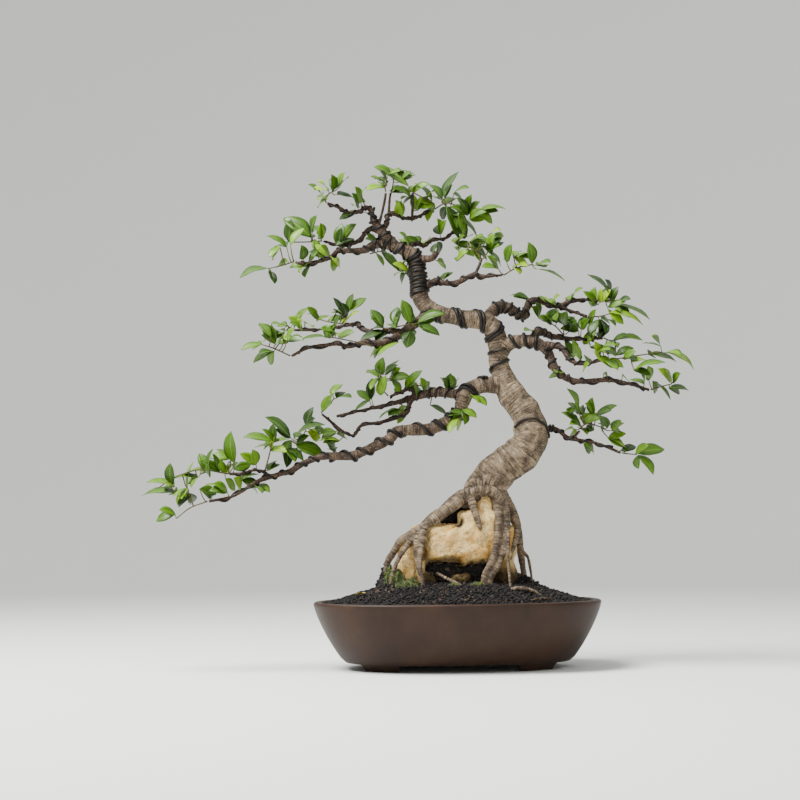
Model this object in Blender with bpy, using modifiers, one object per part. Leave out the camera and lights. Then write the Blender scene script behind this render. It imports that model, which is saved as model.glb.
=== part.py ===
# A wired ficus bonsai, grown root-over-rock in an oval stoneware pot with cut-out feet.
# Metres, +Z up, +X to the tree's right, seen from -Y. The pot stands on the plane z = 0.
import math
import random

import bmesh
import bpy
from mathutils import Matrix, Vector, noise
from mathutils.bvhtree import BVHTree

MM = 0.001
CLEARANCE = 0.0004
CUT_OVERRUN = 0.010

# Pot: an oval plan, the depth a constant amount less than the length at every level.
POT_LENGTH = 0.453
POT_DEPTH = 0.345
POT_HEIGHT = 0.105
POT_BASE_LENGTH = 0.356
POT_WALL = 0.010
POT_FLOOR = 0.010
POT_RIM_WIDTH = 0.013
POT_LIP = 0.0035
POT_FLARE = 0.88
POT_BELLY = 1.25
POT_BASE_EDGE = 0.004
PLAN_POWER = 2.4
PLAN_SIDES = 40
FOOT_HEIGHT = 0.011
FOOT_RING_INSET = 0.011
FOOT_RING_FLARE = 0.005
FOOT_RING_WIDTH = 0.016
FOOT_GAP_FRONT = 0.184
FOOT_GAP_END = 0.120
DRAIN_DIAMETER = 0.028
DRAIN_SPACING = 0.130
TIE_HOLE_DIAMETER = 0.006
TIE_HOLE_SPACING = 0.226
TIE_HOLE_Y = 0.015

# Drainage screens and the wire that ties the root ball down.
SCREEN_SIZE = 0.044
SCREEN_THICKNESS = 0.0016
SCREEN_CELLS = 3
ANCHOR_DIAMETER = 0.0024
ANCHOR_HOOK = 0.014
ANCHOR_DEPTH = 0.012
ANCHOR_BEND = 0.004

# Soil: a mound that falls to the wall just under the lip.
SOIL_DROP = 0.004
SOIL_MOUND = 0.085
SOIL_MOUND_CAP = 0.034
SOIL_MOUND_POWER = 1.25
SOIL_GRAIN = 0.0015
SOIL_UNEVENNESS = 90
SOIL_RINGS = (1.0, 0.86, 0.68, 0.5, 0.32, 0.12)
MOSS_SINK = 0.2

# Stone: its middle above the rim, half sizes, and how far it narrows upwards.
STONE_CENTRE = (0.004, 0.006, 0.058)
STONE_HALF = (0.094, 0.058, 0.096)
STONE_NARROWING = 0.42
STONE_FRONT = 0.046
STONE_ROUGHNESS = 0.014

# Aluminium training wire.
WIRE_HEAVY = 0.0054
WIRE_MEDIUM = 0.0036
WIRE_GAP = 0.0009
WIRE_STEPS = 8

# Leaves.
LEAF_WIDTH = 0.44
LEAF_THICKNESS = 0.0018
LEAF_DROOP = 0.2
STEM_RADIUS = 0.0013
LEAF_TRIES = 60

# Lying on the soil: places (x, y, height of the middle over the grains) and the twig's radii.
FALLEN_TWIG = [
    ((0.110, -0.128, 0.003), 0.0014), ((0.122, -0.118, 0.0035), 0.0018), ((0.136, -0.112, 0.003), 0.0012)]
FALLEN_LEAF_PLACE = (-0.150, -0.060, 0.005)
FALLEN_LEAF_WAY = (0.9, -0.35, 0.18)
FALLEN_LEAF_LENGTH = 0.020
FALLEN_LEAF_ROLL = 0.2

# The tree leans left, so the pot stands to the right of the middle of the whole.
POT_OFFSET_X = 0.068

random_source = random.Random(7)

# Routes of the wood: points (x, y, z above the rim, radius) in millimetres.
WOOD = {
    "trunk": [
        (36, 2, 140, 29), (44, 0, 174, 31), (72, -5, 206, 31), (102, -8, 228, 29), (120, -8, 252, 28),
        (120, -4, 274, 26), (113, 0, 296, 24.5), (93, 4, 324, 22), (80, 6, 350, 18), (72, 8, 374, 16),
        (72, 8, 394, 15), (69, 6, 416, 16), (60, 4, 436, 16), (39, 2, 445, 15), (14, 0, 448, 13.5),
        (-14, 0, 454, 13), (-37, 0, 463, 13.5), (-50, 0, 478, 13.5), (-53, 2, 495, 12.8), (-55, 4, 522, 12.3),
        (-59, 2, 547, 12), (-74, 0, 558, 10), (-92, -2, 565, 9), (-109, 2, 570, 8), (-128, 6, 568, 6.8),
        (-140, 8, 561, 5.8), (-165, 12, 561, 4.5), (-183, 14, 561, 4.2), (-200, 16, 549, 3.7),
        (-235, 20, 542, 3.2), (-253, 22, 545, 2.6)],
    "root_left": [
        (40, -6, 167, 14), (16, -24, 161, 12), (-1, -34, 152, 10), (-26, -42, 133, 8), (-46, -45, 120, 7),
        (-67, -44, 108, 6.6), (-88, -38, 96, 6.2), (-101, -32, 74, 5.6), (-110, -28, 56, 5), (-122, -20, -16, 3.4)],
    "root_left_front": [
        (-40, -43, 125, 6), (-52, -50, 103, 5), (-55, -54, 78, 4.7), (-55, -57, 54, 4.4), (-52, -62, -14, 3)],
    "root_left_low": [
        (-63, -44, 110, 4.8), (-82, -46, 82, 4.1), (-97, -48, 56, 3.8), (-110, -54, -12, 2.6)],
    "root_centre": [
        (36, -14, 165, 8), (25, -30, 152, 5), (28, -40, 137, 4.7), (36, -46, 116, 3.5)],
    "root_right": [
        (50, -6, 180, 16), (70, -20, 157, 12), (77, -30, 138, 11), (76, -36, 118, 10.4), (71, -42, 97, 9.6),
        (63, -46, 77, 8.8), (52, -50, 52, 7.8), (38, -58, -18, 5)],
    "root_right_side": [
        (66, 2, 175, 12), (82, -4, 154, 8.7), (88, -8, 133, 7), (90, -12, 110, 5.7), (87, -18, 86, 5),
        (80, -26, 60, 4.4), (68, -36, -15, 3)],
    "root_back_left": [
        (30, 12, 170, 14), (0, 30, 159, 9.5), (-24, 40, 137, 7.8), (-50, 48, 111, 6.8), (-70, 54, 80, 6),
        (-94, 62, -15, 4)],
    "root_back_right": [
        (58, 12, 172, 15), (82, 26, 150, 10), (95, 34, 126, 8.1), (102, 42, 98, 6.8), (106, 50, 65, 5.6),
        (118, 58, -15, 4)],
    "root_back": [
        (46, 14, 168, 15), (47, 42, 150, 10.5), (41, 56, 118, 8.4), (30, 66, 80, 7), (10, 84, -15, 4)],
    "root_thin_right": [
        (94, 32, 132, 3.6), (101, 18, 106, 3), (102, 12, 92, 2.6), (113, 8, 73, 2.3), (120, 6, 50, 2.2),
        (126, 2, -5, 1.5)],
    "root_thin_front": [
        (90, -12, 112, 3.2), (87, -30, 84, 2.4), (84, -42, 52, 2.1), (82, -48, -5, 1.5)],
    "root_surface": [
        (44, -54, 22, 4.5), (62, -78, 24, 3.8), (88, -92, 21, 3.4), (112, -90, 17, 3), (134, -84, 2, 2.4)],
    "low_left": [
        (88, 4, 340, 15), (58, 2, 341, 13.6), (39, 0, 339, 13.2), (21, -4, 330, 12.7), (12, -8, 310, 11.4),
        (5, -10, 294, 10.5), (-17, -12, 280, 9.8), (-43, -14, 270, 9.5), (-88, -18, 268, 9.4),
        (-106, -20, 254, 8.7), (-144, -24, 236, 7.9), (-164, -26, 229, 7.6), (-204, -30, 229, 6.3),
        (-221, -32, 225, 5.5), (-241, -34, 217, 5.2), (-259, -36, 206, 5), (-281, -38, 200, 4.6),
        (-311, -42, 190, 3.6), (-350, -46, 167, 2.8), (-386, -50, 160, 2.2)],
    "low_left_fork": [
        (-292, -39, 198, 3.6), (-303, -37, 206, 3.1), (-319, -34, 208, 2.8), (-336, -30, 203, 2.5),
        (-356, -28, 203, 2.2)],
    "low_left_upper": [
        (20, -2, 328, 8.8), (4, 4, 327, 8), (-22, 14, 331, 7.7), (-42, 20, 329, 7), (-71, 28, 322, 5.3),
        (-108, 38, 313, 3.8), (-145, 46, 306, 3), (-189, 54, 297, 2.2)],
    "low_left_pad": [
        (-58, 25, 325, 4.4), (-70, 22, 338, 3.4), (-84, 18, 332, 3), (-103, 14, 325, 2.4)],
    "low_left_lower": [
        (-66, 27, 323, 4.8), (-72, 20, 311, 4.2), (-78, 14, 297, 4), (-114, 2, 284, 3.4), (-148, -8, 278, 3),
        (-158, -13, 263, 2.8), (-174, -16, 266, 2.5), (-210, -20, 296, 1.8)],
    "mid_left": [
        (-33, -2, 460, 9.8), (-43, -10, 451, 8.8), (-62, -24, 437, 7.9), (-80, -36, 423, 7), (-95, -44, 412, 6.2),
        (-116, -50, 404, 5.5), (-141, -54, 405, 4.8), (-167, -58, 399, 4), (-183, -60, 403, 3.6),
        (-227, -66, 397, 3), (-254, -70, 384, 2.2)],
    "mid_left_upper": [
        (-86, -40, 420, 5.5), (-102, -30, 427, 5.2), (-117, -22, 422, 4.8), (-146, -10, 432, 4.4),
        (-152, -7, 440, 3.8), (-175, 0, 438, 3.1), (-216, 8, 434, 2.5), (-255, 16, 434, 1.9)],
    "up_left_back": [
        (-117, -2, 590, 5.6), (-133, 8, 595, 4.5), (-149, 20, 579, 3.9), (-174, 32, 573, 3.2), (-208, 44, 582, 2.3)],
    "apex": [
        (-84, 0, 561, 8), (-97, -4, 574, 8), (-110, -6, 586, 7.4), (-120, -6, 598, 6.6), (-126, -6, 608, 5.2),
        (-128, -6, 622, 4.4), (-137, -6, 628, 3.8), (-148, -8, 621, 3.5), (-164, -10, 618, 3.3),
        (-180, -13, 627, 3), (-198, -16, 633, 2.3)],
    "apex_right": [
        (-113, -6, 592, 5), (-103, -2, 603, 4.5), (-103, 3, 614, 4), (-95, 8, 620, 3.6), (-75, 18, 614, 3.3),
        (-61, 25, 614, 3.2), (-48, 31, 621, 2.8), (-28, 40, 631, 2.2)],
    "apex_twig_left": [(-118, -6, 597, 2.4), (-113, -9, 612, 2.3), (-107, -14, 636, 2), (-105, -16, 649, 1.7)],
    "apex_twig_middle": [(-101, 4, 616, 2.3), (-99, 12, 643, 2), (-97, 14, 655, 1.7)],
    "apex_twig_right": [(-63, 24, 614, 2.3), (-62, 22, 636, 2), (-62, 21, 655, 1.7)],
    "up_right_stub": [(-57, 2, 545, 7.2), (-43, -8, 543, 6.4), (-31, -16, 544, 5.8), (-25, -20, 553, 4.5)],
    "up_right_twig": [
        (-70, 0, 557, 6), (-65, 9, 567, 4.2), (-57, 17, 572, 3.8), (-42, 26, 570, 3.6), (-33, 33, 579, 3.5),
        (-7, 48, 586, 2.8), (5, 54, 599, 2.2)],
    "up_right": [
        (-53, 4, 506, 8), (-37, -2, 503, 6.4), (-24, -8, 509, 5.4), (-13, -14, 503, 5), (7, -20, 503, 4.7),
        (33, -30, 514, 4), (46, -36, 510, 3.7), (78, -48, 510, 2.6)],
    "up_right_fork": [(32, -30, 513, 3), (39, -24, 522, 2.6), (46, -16, 539, 2)],
    "right_upper": [
        (53, 6, 444, 10.4), (63, 16, 460, 9.3), (76, 24, 469, 8.9), (91, 30, 468, 8.8), (106, 36, 459, 8),
        (117, 40, 455, 7.4), (121, 44, 467, 6.3), (127, 48, 480, 5.8), (141, 52, 482, 5.3), (170, 56, 473, 4.5),
        (196, 60, 481, 3.8), (221, 64, 484, 3), (240, 66, 480, 2.3)],
    "right_upper_low": [(168, 56, 473, 3.8), (184, 50, 467, 3.3), (218, 38, 453, 2.2)],
    "right_main": [
        (72, 6, 386, 12.8), (86, 0, 404, 11.2), (103, -6, 410, 10.4), (120, -12, 409, 9.8), (134, -16, 405, 8.8),
        (148, -20, 392, 8), (154, -22, 380, 7.3), (158, -26, 366, 6.8), (169, -30, 353, 6.2), (181, -34, 345, 5.4),
        (202, -40, 341, 4.7), (240, -52, 342, 3.9), (270, -62, 335, 2.9), (301, -72, 324, 2)],
    "right_main_back": [
        (126, -10, 411, 7.4), (135, -2, 425, 6.6), (147, 8, 424, 5.9), (158, 16, 419, 5.2), (200, 36, 416, 3.5),
        (244, 54, 419, 2.2)],
    "right_main_front": [
        (139, -18, 402, 6.4), (154, -30, 400, 5.6), (170, -41, 394, 5), (181, -53, 374, 4.2), (199, -62, 367, 3.5),
        (232, -76, 371, 2.3)],
    "right_low": [
        (128, 4, 268, 6), (153, 14, 271, 4.5), (166, 18, 268, 4.2), (183, 18, 255, 3.7), (203, 16, 251, 3.2),
        (231, 12, 245, 2.7), (264, 6, 230, 2)],
    "right_low_spur": [(189, 18, 254, 2.6), (200, 12, 266, 2)],
}

# Training wire: limb, the points of its route between which it runs, turns, diameter, starting angle and hand.
WIRES = {
    "trunk_wire_elbow": ("trunk", 13.4, 15.1, 3.0, WIRE_HEAVY, 0.5, 1),
    "trunk_wire_neck": ("trunk", 18.75, 19.5, 1.5, WIRE_HEAVY, 1.0, 1),
    "top_left_wire": ("trunk", 24.0, 29.2, 8.0, WIRE_MEDIUM, 0.2, 1),
    "apex_wire": ("apex", 3.7, 4.9, 2.5, WIRE_MEDIUM, 2.2, -1),
    "low_left_wire": ("low_left", 5.4, 11.6, 7.0, WIRE_HEAVY, 2.6, 1),
    "low_left_end_wire": ("low_left", 12.1, 14.4, 3.0, WIRE_MEDIUM, 0.8, 1),
    "low_left_upper_wire": ("low_left_upper", 1.6, 3.4, 3.5, WIRE_MEDIUM, 0.4, -1),
    "mid_left_wire": ("mid_left", 4.2, 9.2, 7.0, WIRE_MEDIUM, 1.4, 1),
    "right_upper_wire": ("right_upper", 2.5, 4.4, 3.0, WIRE_MEDIUM, 0.0, -1),
    "right_upper_end_wire": ("right_upper", 7.4, 8.9, 3.0, WIRE_MEDIUM, 1.0, -1),
    "right_main_wire": ("right_main", 5.2, 12.2, 8.0, WIRE_MEDIUM, 1.8, 1),
    "right_low_wire": ("right_low", 1.1, 2.6, 2.0, WIRE_MEDIUM, 0.9, -1),
}

# Leafy shoots: stem points (x, y, z above the rim) in millimetres, number of leaves, leaf length.
SHOOTS = {
    "shoot_far_left": ([(-358, -28, 203), (-405, -32, 210), (-445, -36, 196), (-466, -38, 182)], 8, 40),
    "shoot_far_left_low": ([(-388, -51, 160), (-415, -53, 150), (-436, -54, 134)], 5, 34),
    "shoot_low_left_front": ([(-298, -48, 208), (-290, -55, 235), (-296, -60, 255)], 6, 36),
    "shoot_low_left_back": ([(-242, -26, 225), (-240, -5, 262), (-240, 5, 288)], 6, 38),
    "shoot_low_left_end": ([(-211, -21, 298), (-212, -26, 312), (-218, -30, 320)], 4, 34),
    "shoot_low_left_pad": ([(-105, 14, 326), (-120, 18, 345), (-122, 22, 372)], 9, 36),
    "shoot_low_left_top": ([(-28, 28, 339), (-45, 34, 350), (-60, 40, 366)], 5, 34),
    "shoot_base": ([(18, -22, 308), (22, -34, 298), (24, -42, 288)], 4, 30),
    "shoot_mid_left_end": ([(-256, -71, 384), (-282, -74, 388), (-304, -74, 384)], 7, 38),
    "shoot_mid_left_outer": ([(-257, 16, 434), (-274, 14, 444), (-292, 10, 456)], 7, 38),
    "shoot_mid_left_top": ([(-178, 6, 442), (-180, 16, 460), (-176, 22, 474)], 7, 34),
    "shoot_mid_left_inner": ([(-112, -34, 428), (-104, -46, 444), (-96, -52, 456)], 6, 34),
    "shoot_mid_left_low": ([(-128, -64, 398), (-116, -72, 396), (-100, -79, 400)], 4, 32),
    "shoot_up_left_end": ([(-255, 22, 546), (-282, 24, 548), (-304, 26, 540)], 7, 42),
    "shoot_up_left_back": ([(-210, 45, 583), (-232, 48, 592), (-254, 48, 596)], 8, 38),
    "shoot_up_left_hanging": ([(-132, 21, 557), (-124, 24, 551), (-114, 24, 543)], 4, 30),
    "shoot_apex_left": ([(-200, -17, 634), (-208, -20, 646), (-214, -22, 656)], 6, 32),
    "shoot_crown_left": ([(-105, -16, 651), (-108, -18, 662), (-108, -19, 664)], 6, 32),
    "shoot_crown_middle": ([(-97, 14, 657), (-93, 16, 664), (-90, 18, 668)], 5, 30),
    "shoot_crown_right": ([(-62, 21, 657), (-52, 20, 660), (-40, 20, 664)], 6, 32),
    "shoot_apex_right": ([(-26, 41, 632), (0, 42, 640), (28, 40, 636), (44, 38, 630)], 10, 38),
    "shoot_up_right_back": ([(6, 54, 601), (12, 56, 612), (14, 58, 618)], 6, 34),
    "shoot_up_right_end": ([(80, -48, 510), (98, -50, 522), (120, -50, 524)], 8, 40),
    "shoot_up_right_fork": ([(46, -15, 541), (48, -10, 552), (46, -6, 562)], 5, 34),
    "shoot_right_upper_end": ([(242, 66, 480), (258, 64, 492), (276, 60, 488)], 8, 38),
    "shoot_right_upper_low": ([(220, 38, 453), (246, 32, 456), (274, 26, 458)], 6, 36),
    "shoot_right_upper_base": ([(118, 54, 471), (106, 64, 480), (100, 70, 484)], 4, 30),
    "shoot_right_back_top": ([(178, 33, 424), (176, 34, 446), (186, 32, 458)], 8, 34),
    "shoot_right_back_end": ([(246, 55, 420), (262, 54, 424), (280, 50, 424)], 7, 36),
    "shoot_right_front_end": ([(234, -77, 371), (258, -80, 374), (296, -78, 376), (322, -74, 368)], 8, 40),
    "shoot_right_main_end": ([(303, -73, 324), (316, -74, 326), (328, -74, 324)], 6, 34),
    "shoot_right_low_top": ([(200, 12, 269), (202, 10, 292), (210, 10, 304)], 8, 36),
    "shoot_right_low_end": ([(266, 6, 230), (278, 4, 228), (290, 2, 226)], 5, 36),
}

# Moss cushions: x, y, half length, half depth and half height in millimetres.
MOSS = {
    "moss_left": (-82, -66, 17, 12, 10),
    "moss_front": (-8, -78, 22, 13, 9),
    "moss_back": (62, 96, 26, 17, 10),
}

BARK = (0.20, 0.145, 0.105, 1)
TWIG_GREEN = (0.20, 0.34, 0.06, 1)
WIRE_BLACK = (0.035, 0.033, 0.032, 1)
STONEWARE = (0.07, 0.042, 0.028, 1)
SOIL_BLACK = (0.02, 0.018, 0.017, 1)
STONE_CREAM = (0.55, 0.43, 0.25, 1)
MOSS_GREEN = (0.12, 0.19, 0.04, 1)
SCREEN_BLACK = (0.03, 0.03, 0.03, 1)
LEAF_YELLOW = (0.55, 0.42, 0.06, 1)

for old in list(bpy.data.objects):
    bpy.data.objects.remove(old, do_unlink=True)

parts = bpy.data.collections.new("bonsai_tree_in_a_pot")
cutters = bpy.data.collections.new("cutters")
cutters.hide_render = True
bpy.context.scene.collection.children.link(parts)
bpy.context.scene.collection.children.link(cutters)

pot_origin = bpy.data.objects.new("pot_origin", None)
pot_origin.location.x = POT_OFFSET_X
parts.objects.link(pot_origin)


def material(name, colour, roughness, metallic=0.0):
    made = bpy.data.materials.new(name)
    made.use_nodes = True
    shader = made.node_tree.nodes["Principled BSDF"]
    shader.inputs["Base Color"].default_value = colour
    shader.inputs["Roughness"].default_value = roughness
    shader.inputs["Metallic"].default_value = metallic
    return made


def add_object(name, mesh, collection, paint=None):
    made = bpy.data.objects.new(name, mesh)
    made.parent = pot_origin
    collection.objects.link(made)
    if paint:
        mesh.materials.append(paint)
    return made


def mesh_from(bm, name, smooth=True):
    bmesh.ops.recalc_face_normals(bm, faces=bm.faces)
    mesh = bpy.data.meshes.new(name)
    bm.to_mesh(mesh)
    bm.free()
    if smooth:
        mesh.shade_smooth()
        mesh.set_sharp_from_angle(angle=math.radians(40))
    return mesh


def as_cutter(name, mesh, collection=None):
    made = add_object(name, mesh, collection or cutters)
    made.hide_render = True
    made.display_type = "WIRE"
    return made


def boolean(target, operation, other):
    step = target.modifiers.new(operation.lower() + "_" + other.name, "BOOLEAN")
    step.operation = operation
    step.solver = "EXACT"
    if isinstance(other, bpy.types.Collection):
        step.operand_type = "COLLECTION"
        step.collection = other
    else:
        step.object = other


def cut(target, cutter):
    boolean(target, "DIFFERENCE", cutter)


def group_of(name):
    made = bpy.data.collections.new(name)
    made.hide_render = True
    cutters.children.link(made)
    return made


def smooth_route(points, samples):
    """A Catmull-Rom curve through the points; every point may carry a radius after x, y and z."""
    values = [list(point) for point in points]
    first = [2 * a - b for a, b in zip(values[0], values[1])]
    last = [2 * a - b for a, b in zip(values[-1], values[-2])]
    ends = [first] + values + [last]
    route = []
    for p0, p1, p2, p3 in zip(ends, ends[1:], ends[2:], ends[3:]):
        for step in range(samples):
            t = step / samples
            route.append([
                0.5 * (2 * b + (c - a) * t + (2 * a - 5 * b + 4 * c - d) * t ** 2
                       + (3 * b - 3 * c + d - a) * t ** 3)
                for a, b, c, d in zip(p0, p1, p2, p3)])
    route.append(values[-1])
    return route


def tube_mesh(name, points, bevel_resolution, extra=0.0):
    """A round tube through (place, radius) pairs, its end caps welded. Extra makes it longer and thicker."""
    places = [place for place, _ in points]
    places[0] = places[0] + (places[0] - places[1]).normalized() * extra
    places[-1] = places[-1] + (places[-1] - places[-2]).normalized() * extra
    data = bpy.data.curves.new(name, "CURVE")
    data.dimensions = "3D"
    data.bevel_depth = 1.0
    data.bevel_resolution = bevel_resolution
    data.use_fill_caps = True
    spline = data.splines.new("POLY")
    spline.points.add(len(points) - 1)
    for point, place, (_, radius) in zip(spline.points, places, points):
        point.co = (*place, 1)
        point.radius = radius + extra
    curve = bpy.data.objects.new(name, data)
    cutters.objects.link(curve)
    graph = bpy.context.evaluated_depsgraph_get()
    mesh = bpy.data.meshes.new_from_object(curve.evaluated_get(graph))
    bpy.data.objects.remove(curve)
    bm = bmesh.new()
    bm.from_mesh(mesh)
    bmesh.ops.remove_doubles(bm, verts=bm.verts, dist=0.00001)
    bpy.data.meshes.remove(mesh)
    return mesh_from(bm, name)


def above_rim(points):
    return [(Vector((x, y, z)) * MM + Vector((0, 0, POT_HEIGHT)), radius * MM) for x, y, z, radius in points]


def tree_of(mesh):
    bm = bmesh.new()
    bm.from_mesh(mesh)
    made = BVHTree.FromBMesh(bm)
    bm.free()
    return made


# Pot -------------------------------------------------------------------------------------------------

def plan_point(half_length, angle):
    half_depth = half_length - (POT_LENGTH - POT_DEPTH) / 2
    across, along = math.cos(angle), math.sin(angle)
    power = 2 / PLAN_POWER
    return (half_length * math.copysign(abs(across) ** power, across),
            half_depth * math.copysign(abs(along) ** power, along))


def plan_ring(half_length, height, sides=PLAN_SIDES):
    places = [plan_point(half_length, math.tau * (i + 0.5) / sides) for i in range(sides)]
    return [Vector((x, y, height)) for x, y in places]


def loft(rings, closed=False):
    """Skins one ring of points to the next. The two ends are capped, or meet if the loft is closed."""
    bm = bmesh.new()
    rows = [[bm.verts.new(place) for place in ring] for ring in rings]
    pairs = list(zip(rows, rows[1:]))
    if closed:
        pairs.append((rows[-1], rows[0]))
    else:
        bm.faces.new(rows[0])
        bm.faces.new(rows[-1])
    for lower, upper in pairs:
        for i, corner in enumerate(lower):
            bm.faces.new((corner, lower[i - 1], upper[i - 1], upper[i]))
    return bm


def outer_half_length(height):
    share = (height - FOOT_HEIGHT) / (POT_HEIGHT - POT_LIP - FOOT_HEIGHT)
    share = min(max(share, 0.0), 1.0)
    base = POT_BASE_LENGTH / 2
    return base + (POT_LENGTH / 2 - base) * (1 - (1 - share ** POT_FLARE) ** POT_BELLY)


floor_top = FOOT_HEIGHT + POT_FLOOR
wall_top = POT_HEIGHT - POT_LIP
wall_levels = [0.0, 0.06, 0.2, 0.42, 0.7, 1.0]
inner_heights = [floor_top + level * (wall_top - floor_top) for level in wall_levels]


def inner_half_length(height):
    """The inner wall between its rings is straight, so what fits inside follows the straight runs."""
    rim_inner = POT_LENGTH / 2 - POT_RIM_WIDTH
    for low, high in zip(inner_heights, inner_heights[1:]):
        if height <= high or high == inner_heights[-1]:
            share = (height - low) / (high - low)
            ends = [min(outer_half_length(end) - POT_WALL, rim_inner) for end in (low, high)]
            return ends[0] + (ends[1] - ends[0]) * share


def pot_mesh():
    rings = [plan_ring(POT_BASE_LENGTH / 2 - POT_BASE_EDGE, FOOT_HEIGHT)]
    for level in wall_levels[1:]:
        height = FOOT_HEIGHT + level * (wall_top - FOOT_HEIGHT)
        rings.append(plan_ring(outer_half_length(height), height))
    outer = POT_LENGTH / 2
    inner = inner_half_length(wall_top)
    for turn in (0.5, 1.0):
        angle = turn * math.pi / 2
        rings.append(plan_ring(outer - POT_LIP * (1 - math.cos(angle)), wall_top + POT_LIP * math.sin(angle)))
    for turn in (1.0, 0.5, 0.0):
        angle = turn * math.pi / 2
        rings.append(plan_ring(inner + POT_LIP * (1 - math.cos(angle)), wall_top + POT_LIP * math.sin(angle)))
    for height in reversed(inner_heights[:-1]):
        rings.append(plan_ring(inner_half_length(height), height))
    return mesh_from(loft(rings), "pot")


def box_mesh(name, size, centre):
    bm = bmesh.new()
    bmesh.ops.create_cube(bm, size=1.0, matrix=Matrix.Translation(centre) @ Matrix.Diagonal((*size, 1)))
    return mesh_from(bm, name, smooth=False)


def cylinder_mesh(name, diameter, bottom, top, x, y, segments):
    bm = bmesh.new()
    place = Matrix.Translation((x, y, (bottom + top) / 2))
    bmesh.ops.create_cone(bm, cap_ends=True, segments=segments, radius1=diameter / 2, radius2=diameter / 2,
                          depth=top - bottom, matrix=place)
    return mesh_from(bm, name, smooth=False)


pot = add_object("pot", pot_mesh(), parts, material("stoneware", STONEWARE, 0.45))
foot_outer = POT_BASE_LENGTH / 2 - FOOT_RING_INSET
foot_inner = foot_outer - FOOT_RING_WIDTH
foot_top = FOOT_HEIGHT + POT_FLOOR / 2
foot_rings = [
    plan_ring(foot_outer - FOOT_RING_FLARE, 0), plan_ring(foot_outer, FOOT_HEIGHT), plan_ring(foot_outer, foot_top),
    plan_ring(foot_inner, foot_top), plan_ring(foot_inner, 0)]
foot_ring = as_cutter("foot_ring", mesh_from(loft(foot_rings, closed=True), "foot_ring"))
gap_size = FOOT_HEIGHT + POT_FLOOR
front_gap = box_mesh("front_gap", (FOOT_GAP_FRONT, POT_DEPTH, gap_size), (0, 0, FOOT_HEIGHT - gap_size / 2))
end_gap = box_mesh("end_gap", (POT_LENGTH, FOOT_GAP_END, gap_size), (0, 0, FOOT_HEIGHT - gap_size / 2))
boolean(pot, "UNION", foot_ring)
cut(pot, as_cutter("front_gap", front_gap))
cut(pot, as_cutter("end_gap", end_gap))

for side, name in ((-1, "left"), (1, "right")):
    drain = cylinder_mesh("drain", DRAIN_DIAMETER, 0, floor_top + CUT_OVERRUN, side * DRAIN_SPACING / 2, 0, 24)
    cut(pot, as_cutter("drain_" + name, drain))
    tie = cylinder_mesh("tie", TIE_HOLE_DIAMETER, 0, floor_top + CUT_OVERRUN, side * TIE_HOLE_SPACING / 2, TIE_HOLE_Y, 12)
    cut(pot, as_cutter("tie_hole_" + name, tie))


# Wood ------------------------------------------------------------------------------------------------

def limb_samples(name):
    return 2 if name == "trunk" else 1


def limb_sides(name):
    """The bevel resolution of a limb: eight sides on the trunk, six on the thicker limbs, four on twigs."""
    if name == "trunk":
        return 2
    widest = max(point[3] for point in WOOD[name])
    return 1 if widest > 4.5 else 0


limbs = {name: smooth_route(points, limb_samples(name)) for name, points in WOOD.items()}
wood_limbs = group_of("wood_limbs")
obstacles = []
for name, route in limbs.items():
    mesh = tube_mesh(name, above_rim(route), limb_sides(name))
    obstacles.append(tree_of(mesh))
    if name == "trunk":
        wood = add_object("wood", mesh, parts, material("ficus_bark", BARK, 0.75))
    else:
        as_cutter("limb_" + name, mesh, wood_limbs)
boolean(wood, "UNION", wood_limbs)

root_cutters = group_of("root_cutters")
for name, route in limbs.items():
    if name.startswith("root") or name == "trunk":
        shown = route if name != "trunk" else route[:5]
        as_cutter("room_" + name, tube_mesh("room_" + name, above_rim(shown), limb_sides(name), CLEARANCE),
                  root_cutters)


# Stone -----------------------------------------------------------------------------------------------

def stone_mesh(name, extra=0.0):
    bm = bmesh.new()
    bmesh.ops.create_icosphere(bm, subdivisions=3, radius=1.0)
    half = Vector(STONE_HALF)
    for vert in bm.verts:
        way = vert.co.normalized()
        rise = (way.z + 1) / 2
        narrow = 1.06 - STONE_NARROWING * rise ** 1.5
        lump = 1 + noise.fractal(way * 2.1, 0.9, 2.0, 4) * STONE_ROUGHNESS / half.z * 2
        place = Vector((way.x * half.x * narrow, way.y * half.y * narrow, way.z * half.z)) * lump
        place.y = max(place.y, -STONE_FRONT + 0.1 * place.z * (place.z > 0))
        vert.co = place + way * extra
    bmesh.ops.translate(bm, verts=bm.verts, vec=Vector(STONE_CENTRE) + Vector((0, 0, POT_HEIGHT)))
    return mesh_from(bm, name)


def largest_body(mesh):
    """Keeps the biggest connected body, so that no crumb is left where two grooves cross."""
    bm = bmesh.new()
    bm.from_mesh(mesh)
    waiting = set(bm.verts)
    bodies = []
    while waiting:
        body = {waiting.pop()}
        edge_of_body = list(body)
        while edge_of_body:
            vert = edge_of_body.pop()
            near = {edge.other_vert(vert) for edge in vert.link_edges} - body
            body |= near
            edge_of_body.extend(near)
        waiting -= body
        bodies.append(body)
    kept = max(bodies, key=len)
    bmesh.ops.delete(bm, geom=[vert for vert in bm.verts if vert not in kept], context="VERTS")
    bm.to_mesh(mesh)
    bm.free()
    return mesh


def settled(target, name):
    """Applies the cuts so far and keeps the largest body of what they leave."""
    graph = bpy.context.evaluated_depsgraph_get()
    mesh = bpy.data.meshes.new_from_object(target.evaluated_get(graph))
    target.modifiers.clear()
    target.data = largest_body(mesh)
    target.data.name = name


stone = add_object("stone", stone_mesh("stone"), parts, material("limestone", STONE_CREAM, 0.85))
cut(stone, root_cutters)
settled(stone, "stone")


# Screens and anchor wire -----------------------------------------------------------------------------

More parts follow.
